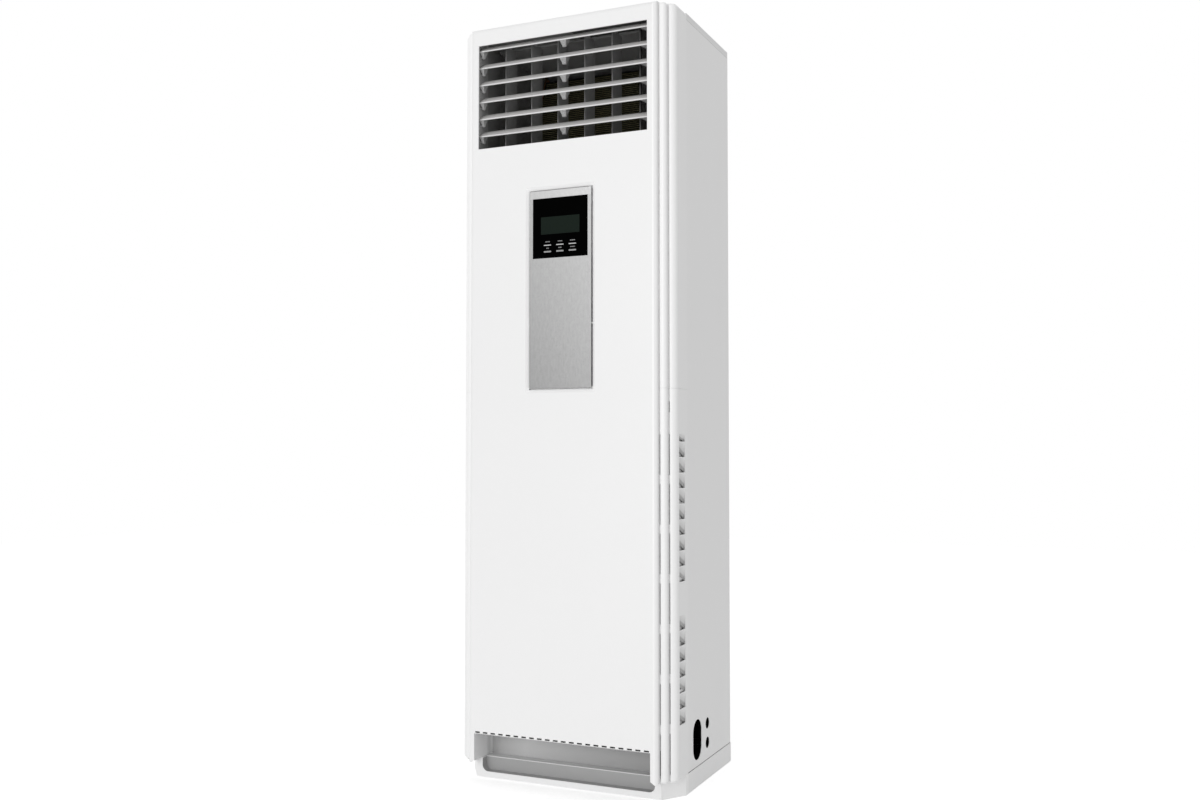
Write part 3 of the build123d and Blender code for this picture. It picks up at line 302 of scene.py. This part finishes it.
def mouldedFinish(name, look):
    # plastic or paint: a slow change of tone, a grain in the surface and a gloss that varies a little
    material, tree, shader, place = startFinish(name, look)
    cloud = noiseOf(tree, place, look["patch"], detail=3.0)
    grain = noiseOf(tree, place, look["grain"])
    colour = toned(tree, cloud, look["dark"], look["light"])
    colour = regioned(tree, place, colour, look.get("regions", []))
    surfaced(tree, shader, look, colour, grain, grain)
    return material


# surfaces that several finishes share; patch and grain are noise scales
satin = {"patch": 2.5, "grain": 900.0, "rough": (0.34, 0.42), "strength": 0.06, "depth": 0.0002}
painted = {"patch": 1.8, "grain": 420.0, "rough": (0.40, 0.50), "strength": 0.10, "depth": 0.0003}
keyTop = {"patch": 300.0, "grain": 1500.0, "rough": (0.36, 0.46), "strength": 0.08, "depth": 0.0001}

caseLooks = {
    "caseWhite": {
        **satin, "light": grey(0.905), "dark": grey(0.895),
        "regions": [
            # painted light: brighter towards the floor
            (0.955, {"z": (None, 0.45), "edge": 0.45}),
            # painted light on the slope of the recess round the plate
            (0.985, {"side": (None, 0.0886), "y": (-0.2056, -0.1990), "z": (0.905, 1.392)}),
            # painted highlight on the right rounding, and the edge beyond it painted lighter
            (0.99, {"x": (0.2290, 0.2330), "edge": 0.0008}),
            (0.98, {"x": (0.2340, None), "edge": 0.0010}),
            # painted shade on the panel's own sides, in the grooves
            (0.84, {"side": (0.2386, None)}),
        ],
    },
    "postWhite": {
        **satin, "light": grey(0.965), "dark": grey(0.955),
        "regions": [
            # painted shade: the outer sides darker than the front
            (0.89, {"side": (0.2690, None), "y": (-0.1600, None), "edge": 0.0010}),
            # intake scoops: painted shade, darker with depth, and a sharp painted shadow in the lower
            # front corner
            (0.54, {"side": (None, 0.27085), "y": (-0.1555, -0.1165), "z": (0.155, 0.815),
                    "edge": 0.00135}),
            (0.36, {"side": (None, 0.27030), "y": (-0.1555, -0.1165), "z": (0.155, 0.815),
                    "edge": 0.00020}),
            # painted light on the edge of the inner rib, and painted shade in the groove between the
            # ribs
            (0.985, {"side": (0.2380, 0.2425), "y": (None, -0.1600)}),
            (0.90, {"side": (0.2553, 0.2590), "y": (None, -0.1600)}),
        ],
    },
    "coverWhite": {
        **painted, "light": grey(0.87), "dark": grey(0.86),
        "regions": [
            # painted shade on its sides, and a painted shadow in the seam under it
            (0.78, {"side": (0.2718, None)}),
            (0.42, {"z": (None, 1.7653)}),
        ],
    },
    "sideWhite": {
        **painted, "light": grey(0.885), "dark": grey(0.875),
        "regions": [
            # painted shade on its inside, and along the seam at its foot
            (0.015, {"side": (None, 0.2715), "y": (-0.095, 0.198)}),
            (0.22, {"z": (None, 0.0471)}),
        ],
    },
    "baseWhite": {
        **painted, "light": grey(0.965), "dark": grey(0.955),
        "regions": [
            # painted shade: outer sides darker than the front, and the hollow of the tray near black
            (0.88, {"side": (0.2700, None), "y": (-0.10, None)}),
            (0.02, {"side": (None, 0.2700), "y": (-0.1140, 0.2035), "z": (0.0008, 0.0440)}),
            # painted shade on the floor of the toe recess and in the pocket in the front, and a
            # painted highlight on the edge over it
            (0.72, {"side": (None, 0.2215), "y": (-0.1702, -0.10), "z": (0.0435, None)}),
            (0.40, {"side": (None, 0.2215), "y": (-0.1702, -0.1470), "z": (0.001, 0.0432)}),
            (0.90, {"side": (None, 0.2215), "y": (-0.1720, -0.1660), "z": (0.0430, None)}),
            # painted shade on the top, under the pipes
            (0.01, {"side": (None, 0.2685), "y": (-0.0850, 0.2035), "z": (0.0435, None)}),
        ],
    },
    # a white moulding, painted grey as shade in the recess
    "toeWhitePaintedShade": {
        "light": grey(0.46), "dark": grey(0.44), "patch": 4.0, "grain": 1100.0,
        "rough": (0.45, 0.55), "strength": 0.10, "depth": 0.0002,
        "regions": [
            # painted light to the left, painted shade to the right, and a painted shadow beside the
            # left wall
            (0.66, {"x": (None, 0.0), "edge": 0.21}),
            (0.38, {"x": (0.0, None), "edge": 0.21}),
            (0.41, {"x": (None, -0.1750), "edge": 0.045}),
            # the left wall painted lighter, and its back painted shade
            (0.99, {"x": (None, -0.2185), "edge": 0.001}),
            (0.60, {"x": (None, -0.2185, 0.001), "y": (-0.1370, None, 0.0110)}),
        ],
    },
    "frameGrey": {
        "light": grey(0.46), "dark": grey(0.34), "patch": 420.0, "grain": 1200.0,
        "rough": (0.45, 0.55), "strength": 0.12, "depth": 0.0002,
        "regions": [
            # painted light on the ceiling of the outlet
            (0.54, {"z": (1.7420, None)}),
            # painted shade behind the vanes' front edges, less dark in the left half of that
            (0.10, {"y": (-0.149, None), "edge": 0.001}),
            (0.27, {"x": (None, 0.0), "y": (-0.149, None), "edge": 0.001}),
        ],
    },
    "vaneGrey": {
        "light": grey(0.40), "dark": grey(0.34), "patch": 14.0, "grain": 1400.0,
        "rough": (0.42, 0.52), "strength": 0.10, "depth": 0.0002,
        "regions": [(0.25, {"y": (None, -0.1450)})],      # painted shade on the front edges
    },
    "upperKeyGrey": {**keyTop, "light": grey(0.62), "dark": grey(0.54)},
    "lowerKeyGrey": {**keyTop, "light": grey(0.32), "dark": grey(0.26)},
    "printGrey": {
        "light": grey(0.30), "dark": grey(0.22), "patch": 500.0, "grain": 1500.0,
        "rough": (0.50, 0.60), "strength": 0.05, "depth": 0.0001,
    },
    "blackMoulded": {
        "light": grey(0.030), "dark": grey(0.022), "patch": 10.0, "grain": 900.0,
        "rough": (0.45, 0.60), "strength": 0.15, "depth": 0.0003,
    },
    "pipeGrey": {
        "light": grey(0.55), "dark": grey(0.50), "patch": 10.0, "grain": 800.0,
        "rough": (0.45, 0.60), "strength": 0.12, "depth": 0.0003,
        "regions": [
            (0.006, {"x": (0.2340, None)}),               # painted shade at the pipe outlet in the side
            (0.95, {"y": (None, -0.1900)}),               # painted light on the housing's face round the plate
        ],
    },
    "windowBlack": {
        "light": grey(0.0006), "dark": grey(0.0003), "patch": 20.0, "grain": 600.0,
        "rough": (0.16, 0.20), "strength": 0.01, "depth": 0.0001, "specular": 0.008,
    },
}


bladeLook = {
    "pivot": (-0.181281, 1.718281),       # of the top blade, y and z
    "pitch": 0.0413,                      # from blade to blade
    "reach": 0.0078,                      # a blade starts this far under its pivot
    "tilt": 32.0,
    "underside": 0.0132,                  # the ears are below this height over the pivot
    "bead": -0.0024,                      # the bead is in front of this
    "beadEdge": 0.0003,                   # half the width of each change of tone
    "earEdge": 0.0002,
    "body": (grey(0.60, 0.01), grey(0.66, 0.02)),
    "bodyPatch": 12.0,
    # painted highlight on the bead, painted shade on the ears
    "lip": grey(0.80),
    "ear": (grey(0.24), grey(0.46)),
    "leftEar": (grey(0.42), grey(0.62)),
    "rightEar": (grey(0.08), grey(0.16)),
    "earSide": 0.19,                      # further out than this are the left and right ears
    "speck": 420.0,
    "grain": 1500.0,
    "rough": (0.36, 0.46),
    "strength": 0.08,
    "depth": 0.0002,
}


def turned(tree, first, second, angle):
    # the first of two axes once both have turned
    return reckoned(tree, "ADD",
                    reckoned(tree, "MULTIPLY", first, cos(angle)),
                    reckoned(tree, "MULTIPLY", second, sin(angle)))


def bladeFinish(name, look):
    # every blade alike: the bead along its front is lighter as a painted highlight, its ears are
    # darker as painted shade and speckled
    material, tree, shader, place = startFinish(name, look)
    axes = axesOf(tree, place)
    y = reckoned(tree, "SUBTRACT", axes[1], look["pivot"][0])
    z = reckoned(tree, "SUBTRACT", axes[2], look["pivot"][1])
    z = reckoned(tree, "WRAP", z, look["pitch"] - look["reach"], -look["reach"])
    tilt = radians(look["tilt"])
    along = turned(tree, y, z, tilt)
    over = turned(tree, z, y, -tilt)
    bead, beadEdge = look["bead"], look["beadEdge"]
    under, earEdge = look["underside"], look["earEdge"]
    colour = toned(tree, noiseOf(tree, place, look["bodyPatch"], detail=3.0), *look["body"])
    colour = mixed(tree, stepped(tree, along, bead + beadEdge, bead - beadEdge), colour, look["lip"])
    speck = noiseOf(tree, place, look["speck"])
    earColour = toned(tree, speck, *look["ear"])
    # the ears at the left end painted lighter, those at the right painted darkest as shade
    for side, limits in (("leftEar", (None, -look["earSide"])), ("rightEar", (look["earSide"], None))):
        atSide = inside(tree, place, x=limits)
        earColour = mixed(tree, atSide, earColour, toned(tree, speck, *look[side]))
    colour = mixed(tree, stepped(tree, over, under + earEdge, under - earEdge), colour, earColour)
    grain = noiseOf(tree, place, look["grain"])
    surfaced(tree, shader, look, colour, grain, grain)
    return material


plateLook = {
    "metallic": 0.6,
    "light": grey(0.46),
    "dark": grey(0.34),
    "scratch": 900.0,
    "scratchStretch": (1.0, 1.0, 0.35),
    "speck": 1400.0,
    "grainSpan": (0.38, 0.62),
    "rough": (0.38, 0.52),
    "strength": 0.12,
    "depth": 0.0002,
    "streak": 190.0,                      # slow upright streaks
    "streakStretch": (1.0, 1.0, 0.30),
    "streakTones": (0.94, 1.05),
    "ends": (0.914, 1.374),               # the plate's lower and upper ends, and its painted light there: darker below, lighter above
    "endPaintedLight": (0.74, 1.05),
    "sides": (-0.079, 0.079),             # the same for its left and right sides: painted shade to the left, painted light to the right
    "sidePaintedLight": (0.94, 1.06),
    "strip": (1.356, 1.357),              # above the window it is painted lighter
    "stripPaintedLight": (1.0, 1.16),
}


def brushedFinish(name, look):
    # metal with short scratches that run one way, and painted light across it
    material, tree, shader, place = startFinish(name, look)
    scratch = noiseOf(tree, place, look["scratch"], stretch=look["scratchStretch"])
    speck = noiseOf(tree, place, look["speck"])
    # their mean, held at a half
    both = reckoned(tree, "MINIMUM", reckoned(tree, "ADD", scratch, speck), 1.0)
    grain = reckoned(tree, "MULTIPLY", both, 0.5)
    colour = toned(tree, grain, look["dark"], look["light"], look["grainSpan"])
    streak = noiseOf(tree, place, look["streak"], detail=3.0, stretch=look["streakStretch"])
    level = ranged(tree, streak, *look["streakTones"])
    axes = axesOf(tree, place)
    # painted light: darker at the foot and the left, lighter at the top, the right and over the window
    for axis, span, tones in ((2, "ends", "endPaintedLight"), (0, "sides", "sidePaintedLight"),
                              (2, "strip", "stripPaintedLight")):
        share = ranged(tree, axes[axis], *look[tones], *look[span])
        level = reckoned(tree, "MULTIPLY", level, share)
    scaled = addNode(tree, "ShaderNodeVectorMath", operation="SCALE")
    tree.links.new(colour, scaled.inputs[0])
    tree.links.new(level, scaled.inputs["Scale"])
    surfaced(tree, shader, look, scaled.outputs[0], grain, grain)
    return material


zincLook = {
    "metallic": 0.9,
    "crystal": 110.0,
    "dark": grey(0.38),
    "light": grey(0.58),
    "regions": [(0.006, {"side": (0.2300, None)})],       # painted shade near the sides
    "grain": 700.0,
    "rough": (0.35, 0.55),
    "strength": 0.08,
    "depth": 0.0002,
}


def zincFinish(name, look):
    # zinc plate: flat crystals of slightly different greys
    material, tree, shader, place = startFinish(name, look)
    crystals = addNode(tree, "ShaderNodeTexVoronoi", Scale=look["crystal"])
    tree.links.new(place, crystals.inputs["Vector"])
    level = addNode(tree, "ShaderNodeRGBToBW")
    tree.links.new(crystals.outputs["Color"], level.inputs[0])
    colour = toned(tree, level.outputs[0], look["dark"], look["light"])
    colour = regioned(tree, place, colour, look["regions"])
    surfaced(tree, shader, look, colour, level.outputs[0], noiseOf(tree, place, look["grain"]))
    return material


castLook = {
    "metallic": 0.85,
    "pits": 380.0,
    "dark": grey(0.26),
    "light": grey(0.42),
    "rough": (0.5, 0.75),
    "strength": 0.3,
    "depth": 0.0006,
}


def castFinish(name, look):
    # sand cast aluminium
    material, tree, shader, place = startFinish(name, look)
    pits = noiseOf(tree, place, look["pits"], detail=5.0)
    surfaced(tree, shader, look, toned(tree, pits, look["dark"], look["light"]), pits, pits)
    return material


copperLook = {
    "metallic": 0.85,
    "stain": 45.0,
    "dark": (0.28, 0.17, 0.09),
    "light": (0.68, 0.41, 0.25),
    "regions": [(0.006, {"x": (0.2340, None)})],          # painted shade at the pipe outlet in the side
    "grain": 1200.0,
    "grainStretch": (1.0, 1.0, 0.1),
    "rough": (0.5, 0.25),
    "strength": 0.1,
    "depth": 0.0002,
}


def copperFinish(name, look):
    # drawn copper, dulled in patches
    material, tree, shader, place = startFinish(name, look)
    stain = noiseOf(tree, place, look["stain"], detail=5.0)
    colour = toned(tree, stain, look["dark"], look["light"])
    colour = regioned(tree, place, colour, look["regions"])
    grain = noiseOf(tree, place, look["grain"], stretch=look["grainStretch"])
    surfaced(tree, shader, look, colour, stain, grain)
    return material


foamLook = {
    "specular": 0.3,
    "beads": 230.0,
    "patch": 5.0,
    "dark": grey(0.36),
    "light": grey(0.42),
    "rough": (0.75, 0.9),
    "strength": 0.25,
    "depth": 0.0008,
}


def foamFinish(name, look):
    # dense moulded foam with a beaded surface
    material, tree, shader, place = startFinish(name, look)
    beads = addNode(tree, "ShaderNodeTexVoronoi", Scale=look["beads"])
    tree.links.new(place, beads.inputs["Vector"])
    cloud = noiseOf(tree, place, look["patch"], detail=3.0)
    colour = toned(tree, cloud, look["dark"], look["light"])
    surfaced(tree, shader, look, colour, cloud, beads.outputs["Distance"])
    return material


# the cells are the settings of a Brick Texture node
screenLook = {
    "specular": 0.02,
    "cells": {
        "Color1": (0.0125, 0.0185, 0.0145, 1), "Color2": (0.0115, 0.0175, 0.0135, 1),
        "Mortar": (0.009, 0.014, 0.011, 1), "Mortar Size": 0.0001,
        "Brick Width": 0.0010, "Row Height": 0.0010, "Scale": 1.0, "offset": 0.0,
    },
    "gloss": 60.0,
    "rough": (0.26, 0.34),
    "strength": 0.02,
    "depth": 0.0001,
}
boardLook = {
    "cells": {
        "Color1": (0.010, 0.075, 0.030, 1), "Color2": (0.014, 0.090, 0.036, 1),
        "Mortar": (0.030, 0.160, 0.060, 1), "Mortar Size": 0.0004,
        "Brick Width": 0.011, "Row Height": 0.0035, "Scale": 1.0, "offset": 0.35,
    },
    "gloss": 300.0,
    "rough": (0.3, 0.5),
    "strength": 0.1,
    "depth": 0.0002,
}


def cellFinish(name, look):
    # a liquid crystal panel's faint grid of cells, or a circuit board's paler tracks
    material, tree, shader, place = startFinish(name, look)
    upright = addNode(tree, "ShaderNodeMapping", Rotation=(radians(90), 0, 0))
    cells = addNode(tree, "ShaderNodeTexBrick", **look["cells"])
    tree.links.new(place, upright.inputs["Vector"])
    tree.links.new(upright.outputs[0], cells.inputs["Vector"])
    gloss = noiseOf(tree, place, look["gloss"])
    surfaced(tree, shader, look, cells.outputs["Color"], gloss, cells.outputs["Fac"])
    return material


netLook = {
    "specular": 0.3,
    "threads": 200.0,
    "dark": grey(0.55),
    "light": grey(0.85),
    "rough": (0.6, 0.8),
    "strength": 0.4,
    "depth": 0.0004,
}


def netFinish(name, look):
    # woven plastic filter net
    material, tree, shader, place = startFinish(name, look)
    threads = []
    for direction in ("Y", "Z"):
        wave = addNode(tree, "ShaderNodeTexWave", bands_direction=direction, Scale=look["threads"])
        tree.links.new(place, wave.inputs["Vector"])
        threads.append(wave.outputs[1])
    weave = reckoned(tree, "MAXIMUM", *threads)
    surfaced(tree, shader, look, toned(tree, weave, look["dark"], look["light"]), weave, weave)
    return material


finSheet = {
    "metallic": 0.4,
    "specular": 0.4,
    "dust": 120.0,
    "grain": 900.0,
    "rough": (0.45, 0.65),
    "strength": 0.15,
    "depth": 0.0002,
}
# painted shade: the core and the fins near black deep in the outlet, the slits less dark and olive
coreLook = {**finSheet, "dark": (0.004, 0.004, 0.002), "light": (0.011, 0.010, 0.006)}
bandLook = {**finSheet, "dark": (0.16, 0.15, 0.085), "light": (0.29, 0.27, 0.155)}


def finFinish(name, look):
    # thin aluminium, dulled by its coating, and darkened as painted shade
    material, tree, shader, place = startFinish(name, look)
    dust = noiseOf(tree, place, look["dust"], detail=4.0)
    colour = toned(tree, dust, look["dark"], look["light"])
    surfaced(tree, shader, look, colour, dust, noiseOf(tree, place, look["grain"]))
    return material


backLook = {
    **painted, "light": grey(0.89), "dark": grey(0.88),
    "regions": [
        # painted shade in the pressed beads, and on the inside behind the pipes
        (0.60, {"y": (None, 0.2046), "edge": 0.0012}),
        (0.01, {"y": (None, 0.2055), "z": (None, 0.26)}),
        # painted shade in the seams along the panel's edges
        (0.25, {"side": (0.2679, None)}),
        (0.25, {"z": (None, 0.0457)}),
        (0.25, {"z": (1.7639, None)}),
    ],
    "column": 0.259,                      # screws: distance from the middle
    "lowest": 0.1100,                     # height of the lowest pair, and the pitch up the panel
    "pitch": 0.2850,
    "headRadius": 0.0042,
    "headEdge": 0.0002,                   # half the width of a change, at the rim and a slot's ends
    "rim": (0.0008, 0.0003),              # the rim of painted shade starts and ends this far inside the head
    "slot": (0.0006, 0.0026),             # half a slot's width, and its reach
    "slotEdge": 0.0001,
    "head": grey(0.50),
    "headShade": grey(0.04),              # painted shade in the rim and slots
    "screwStrength": 0.5,
    "screwDepth": 0.0008,
}


def backFinish(name, look):
    # painted sheet with flush cross-headed screws down both edges
    material, tree, shader, place = startFinish(name, look)
    grain = noiseOf(tree, place, look["grain"])
    cloud = noiseOf(tree, place, look["patch"], detail=3.0)
    colour = toned(tree, cloud, look["dark"], look["light"])
    colour = regioned(tree, place, colour, look["regions"])
    axes = axesOf(tree, place)
    x = reckoned(tree, "SUBTRACT", reckoned(tree, "ABSOLUTE", axes[0]), look["column"])
    z = reckoned(tree, "SUBTRACT", axes[2], look["lowest"])
    z = reckoned(tree, "WRAP", z, look["pitch"] / 2, -look["pitch"] / 2)
    squares = [reckoned(tree, "MULTIPLY", value, value) for value in (x, z)]
    away = reckoned(tree, "SQRT", reckoned(tree, "ADD", *squares))
    radius, edge = look["headRadius"], look["headEdge"]
    head = stepped(tree, away, radius + edge, radius - edge)
    rimStart, rimEnd = look["rim"]
    rim = reckoned(tree, "MULTIPLY", head, stepped(tree, away, radius - rimStart, radius - rimEnd))
    width, reach = look["slot"]
    slotEdge = look["slotEdge"]
    fromX, fromZ = [reckoned(tree, "ABSOLUTE", value) for value in (x, z)]
    arms = []
    for narrow, long in ((fromX, fromZ), (fromZ, fromX)):
        across = stepped(tree, narrow, width + slotEdge, width - slotEdge)
        ends = stepped(tree, long, reach + edge, reach - edge)
        arms.append(reckoned(tree, "MULTIPLY", across, ends))
    # painted shade in the rims and slots of the screws
    shade = reckoned(tree, "MAXIMUM", rim, reckoned(tree, "MAXIMUM", *arms))
    colour = mixed(tree, head, colour, look["head"])
    colour = mixed(tree, shade, colour, look["headShade"])
    under = surfaced(tree, shader, look, colour, grain, grain)
    sunk = reckoned(tree, "SUBTRACT", 1.0, shade)
    bumped(tree, shader, sunk, look["screwStrength"], look["screwDepth"], under)
    return material


otherFinishes = {
    "backWhite": (backFinish, backLook),
    "silverPlate": (brushedFinish, plateLook),
    "bladeGrey": (bladeFinish, bladeLook),
    "zincSheet": (zincFinish, zincLook),
    "castGrey": (castFinish, castLook),
    "copperTube": (copperFinish, copperLook),
    "foamDark": (foamFinish, foamLook),
    "screenGlass": (cellFinish, screenLook),
    "circuitGreen": (cellFinish, boardLook),
    "filterNet": (netFinish, netLook),
    "coilCore": (finFinish, coreLook),
    "coilBand": (finFinish, bandLook),
}
finishes = {name: mouldedFinish(name, look) for name, look in caseLooks.items()}
finishes.update({name: make(name, look) for name, (make, look) in otherFinishes.items()})
print("finishes made:", len(finishes))

nodeFinishes = {
    "caseWhite": ["front_panel"],
    "postWhite": ["left_lower_post", "right_lower_post", "left_upper_post", "right_upper_post"],
    "coverWhite": ["top_cover"],
    "sideWhite": ["left_side_panel", "right_side_panel"],
    "backWhite": ["back_panel"],
    "baseWhite": ["base_tray"],
    "toeWhitePaintedShade": ["toe_recess"],
    "frameGrey": ["outlet_frame"],
    "bladeGrey": [f"louvre_{n}" for n in range(1, 7)],
    "vaneGrey": ["vane_link"] + [f"vane_{n}" for n in range(1, 7)],
    "foamDark": ["air_duct"],
    "silverPlate": ["control_plate"],
    "windowBlack": ["display_window"],
    "screenGlass": ["lcd_module"],
    "upperKeyGrey": [f"key_{n}" for n in range(1, 4)],
    "lowerKeyGrey": [f"key_{n}" for n in range(4, 7)],
    "coilCore": ["evaporator_fins"],
    "copperTube": ["evaporator_tubes", "gas_pipe", "liquid_pipe"],
    "pipeGrey": ["drain_pipe", "control_housing"],
    "zincSheet": ["fan_deck", "scroll_housing", "motor_bracket", "fan_shaft", "electric_box",
                  "electric_box_cover"],
    "castGrey": ["fan_motor"],
    "blackMoulded": ["louvre_link", "fan_wheel", "inlet_bellmouth", "drain_pan", "terminal_block",
                     "vane_motor"],
    "filterNet": ["left_filter", "right_filter"],
    "circuitGreen": ["main_board", "key_board"],
}
for finishName, nodeNames in nodeFinishes.items():
    for nodeName in nodeNames:
        materials = nodes[nodeName].data.materials
        materials.clear()
        materials.append(finishes[finishName])
print("finishes given to the nodes")


def finishPiece(mesh, name, body, finish):
    bmesh.ops.recalc_face_normals(mesh, faces=mesh.faces)
    data = bpy.data.meshes.new(name)
    mesh.to_mesh(data)
    mesh.free()
    data.materials.append(finishes[finish])
    piece = bpy.data.objects.new(name, data)
    bpy.context.scene.collection.objects.link(piece)
    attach(piece, body)
    return piece


def addBar(mesh, low, high, chamfer=0.0):
    # a bar between two corners, with its edges broken where a chamfer is given
    middle = (Vector(low) + Vector(high)) / 2
    size = Vector(high) - Vector(low)
    matrix = Matrix.Translation(middle) @ Matrix.Diagonal((*size, 1))
    verts = bmesh.ops.create_cube(mesh, size=1, matrix=matrix)["verts"]
    if chamfer:
        edges = list(dict.fromkeys(edge for vert in verts for edge in vert.link_edges))
        bmesh.ops.bevel(mesh, geom=edges, offset=chamfer, segments=1,
                        affect="EDGES", profile=0.5, material=-1)


# the evaporator's face: thin fins on a core, both painted near black as shade, with the slits that run
# across them
coil = {
    "lean": 19.0,             # from upright, top to the back
    "foot": (-0.079, 1.154),  # y and z of its lower front edge
    "length": 0.6233,
    "thick": 0.044,
    "half": 0.204,            # half its width
    "coreSink": 0.004,        # the core lies this far behind the fins' edges
    "coreChamfer": 0.001,
    "overlap": 0.0005,        # fins and slits reach this far into the core
    "bandPitch": 0.0058,
    "bandHeight": 0.0019,
    "bandSink": 0.0015,
    "bandInset": 0.0005,      # the slits stop this far short of the core's sides
    "finPitch": 0.0034,
    "finThick": 0.0003,
}


def leanBack(mesh):
    y, z = coil["foot"]
    mesh.transform(Matrix.Translation((0, y, z)) @ Matrix.Rotation(-radians(coil["lean"]), 4, "X"))


def makeCoil():
    half, length = coil["half"], coil["length"]
    deep = coil["coreSink"] + coil["overlap"]      # where the fins and slits end
    core = bmesh.new()
    addBar(core, (-half, coil["coreSink"], 0), (half, coil["thick"], length), coil["coreChamfer"])
    leanBack(core)
    piece = finishPiece(core, "coil_core", "cabinet", "coilCore")
    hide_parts("evaporator_fins")
    bands = bmesh.new()
    bandEnd = half - coil["bandInset"]
    z = coil["bandPitch"]
    while z < length - coil["bandPitch"]:
        addBar(bands, (-bandEnd, coil["bandSink"], z), (bandEnd, deep, z + coil["bandHeight"]))
        z += coil["bandPitch"]
    leanBack(bands)
    finishPiece(bands, "coil_slits", "cabinet", "coilBand")
    fins = bmesh.new()
    x = -half
    while x < half:
        addBar(fins, (x, 0, 0), (x + coil["finThick"], deep, length))
        x += coil["finPitch"]
    leanBack(fins)
    finishPiece(fins, "coil_fins", "cabinet", "coilCore")


makeCoil()
print("coil made")


# small printed marks over the keys: plain dashes
marks = {
    "rise": 0.0080,           # middle of a mark over the middle of its key
    "height": 0.0020,
    "face": -0.2052,          # the window's face
    "proud": 0.00012,         # a mark stands this far out of the face, and reaches this far into it
    "sunk": 0.0001,
    "gap": 0.0009,
    # widths in millimetres
    "dashes": {"key_1": (3.6, 2.4, 3.6), "key_2": (2.4, 4.6, 2.4), "key_3": (4.2, 4.2, 2.4),
               "key_4": (2.6, 2.2), "key_5": (3.0, 4.0), "key_6": (2.4, 3.2, 4.0)},
}


def printMarks():
    mesh = bmesh.new()
    front, back = marks["face"] - marks["proud"], marks["face"] + marks["sunk"]
    for key, widths in marks["dashes"].items():
        low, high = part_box(key)
        across = sum(widths) / 1000 + marks["gap"] * (len(widths) - 1)
        x = (low[0] + high[0]) / 2 - across / 2
        z = (low[2] + high[2]) / 2 + marks["rise"]
        foot, top = z - marks["height"] / 2, z + marks["height"] / 2
        for width in widths:
            addBar(mesh, (x, front, foot), (x + width / 1000, back, top))
            x += width / 1000 + marks["gap"]
    finishPiece(mesh, "key_marks", "cabinet", "printGrey")


printMarks()
print("marks printed")
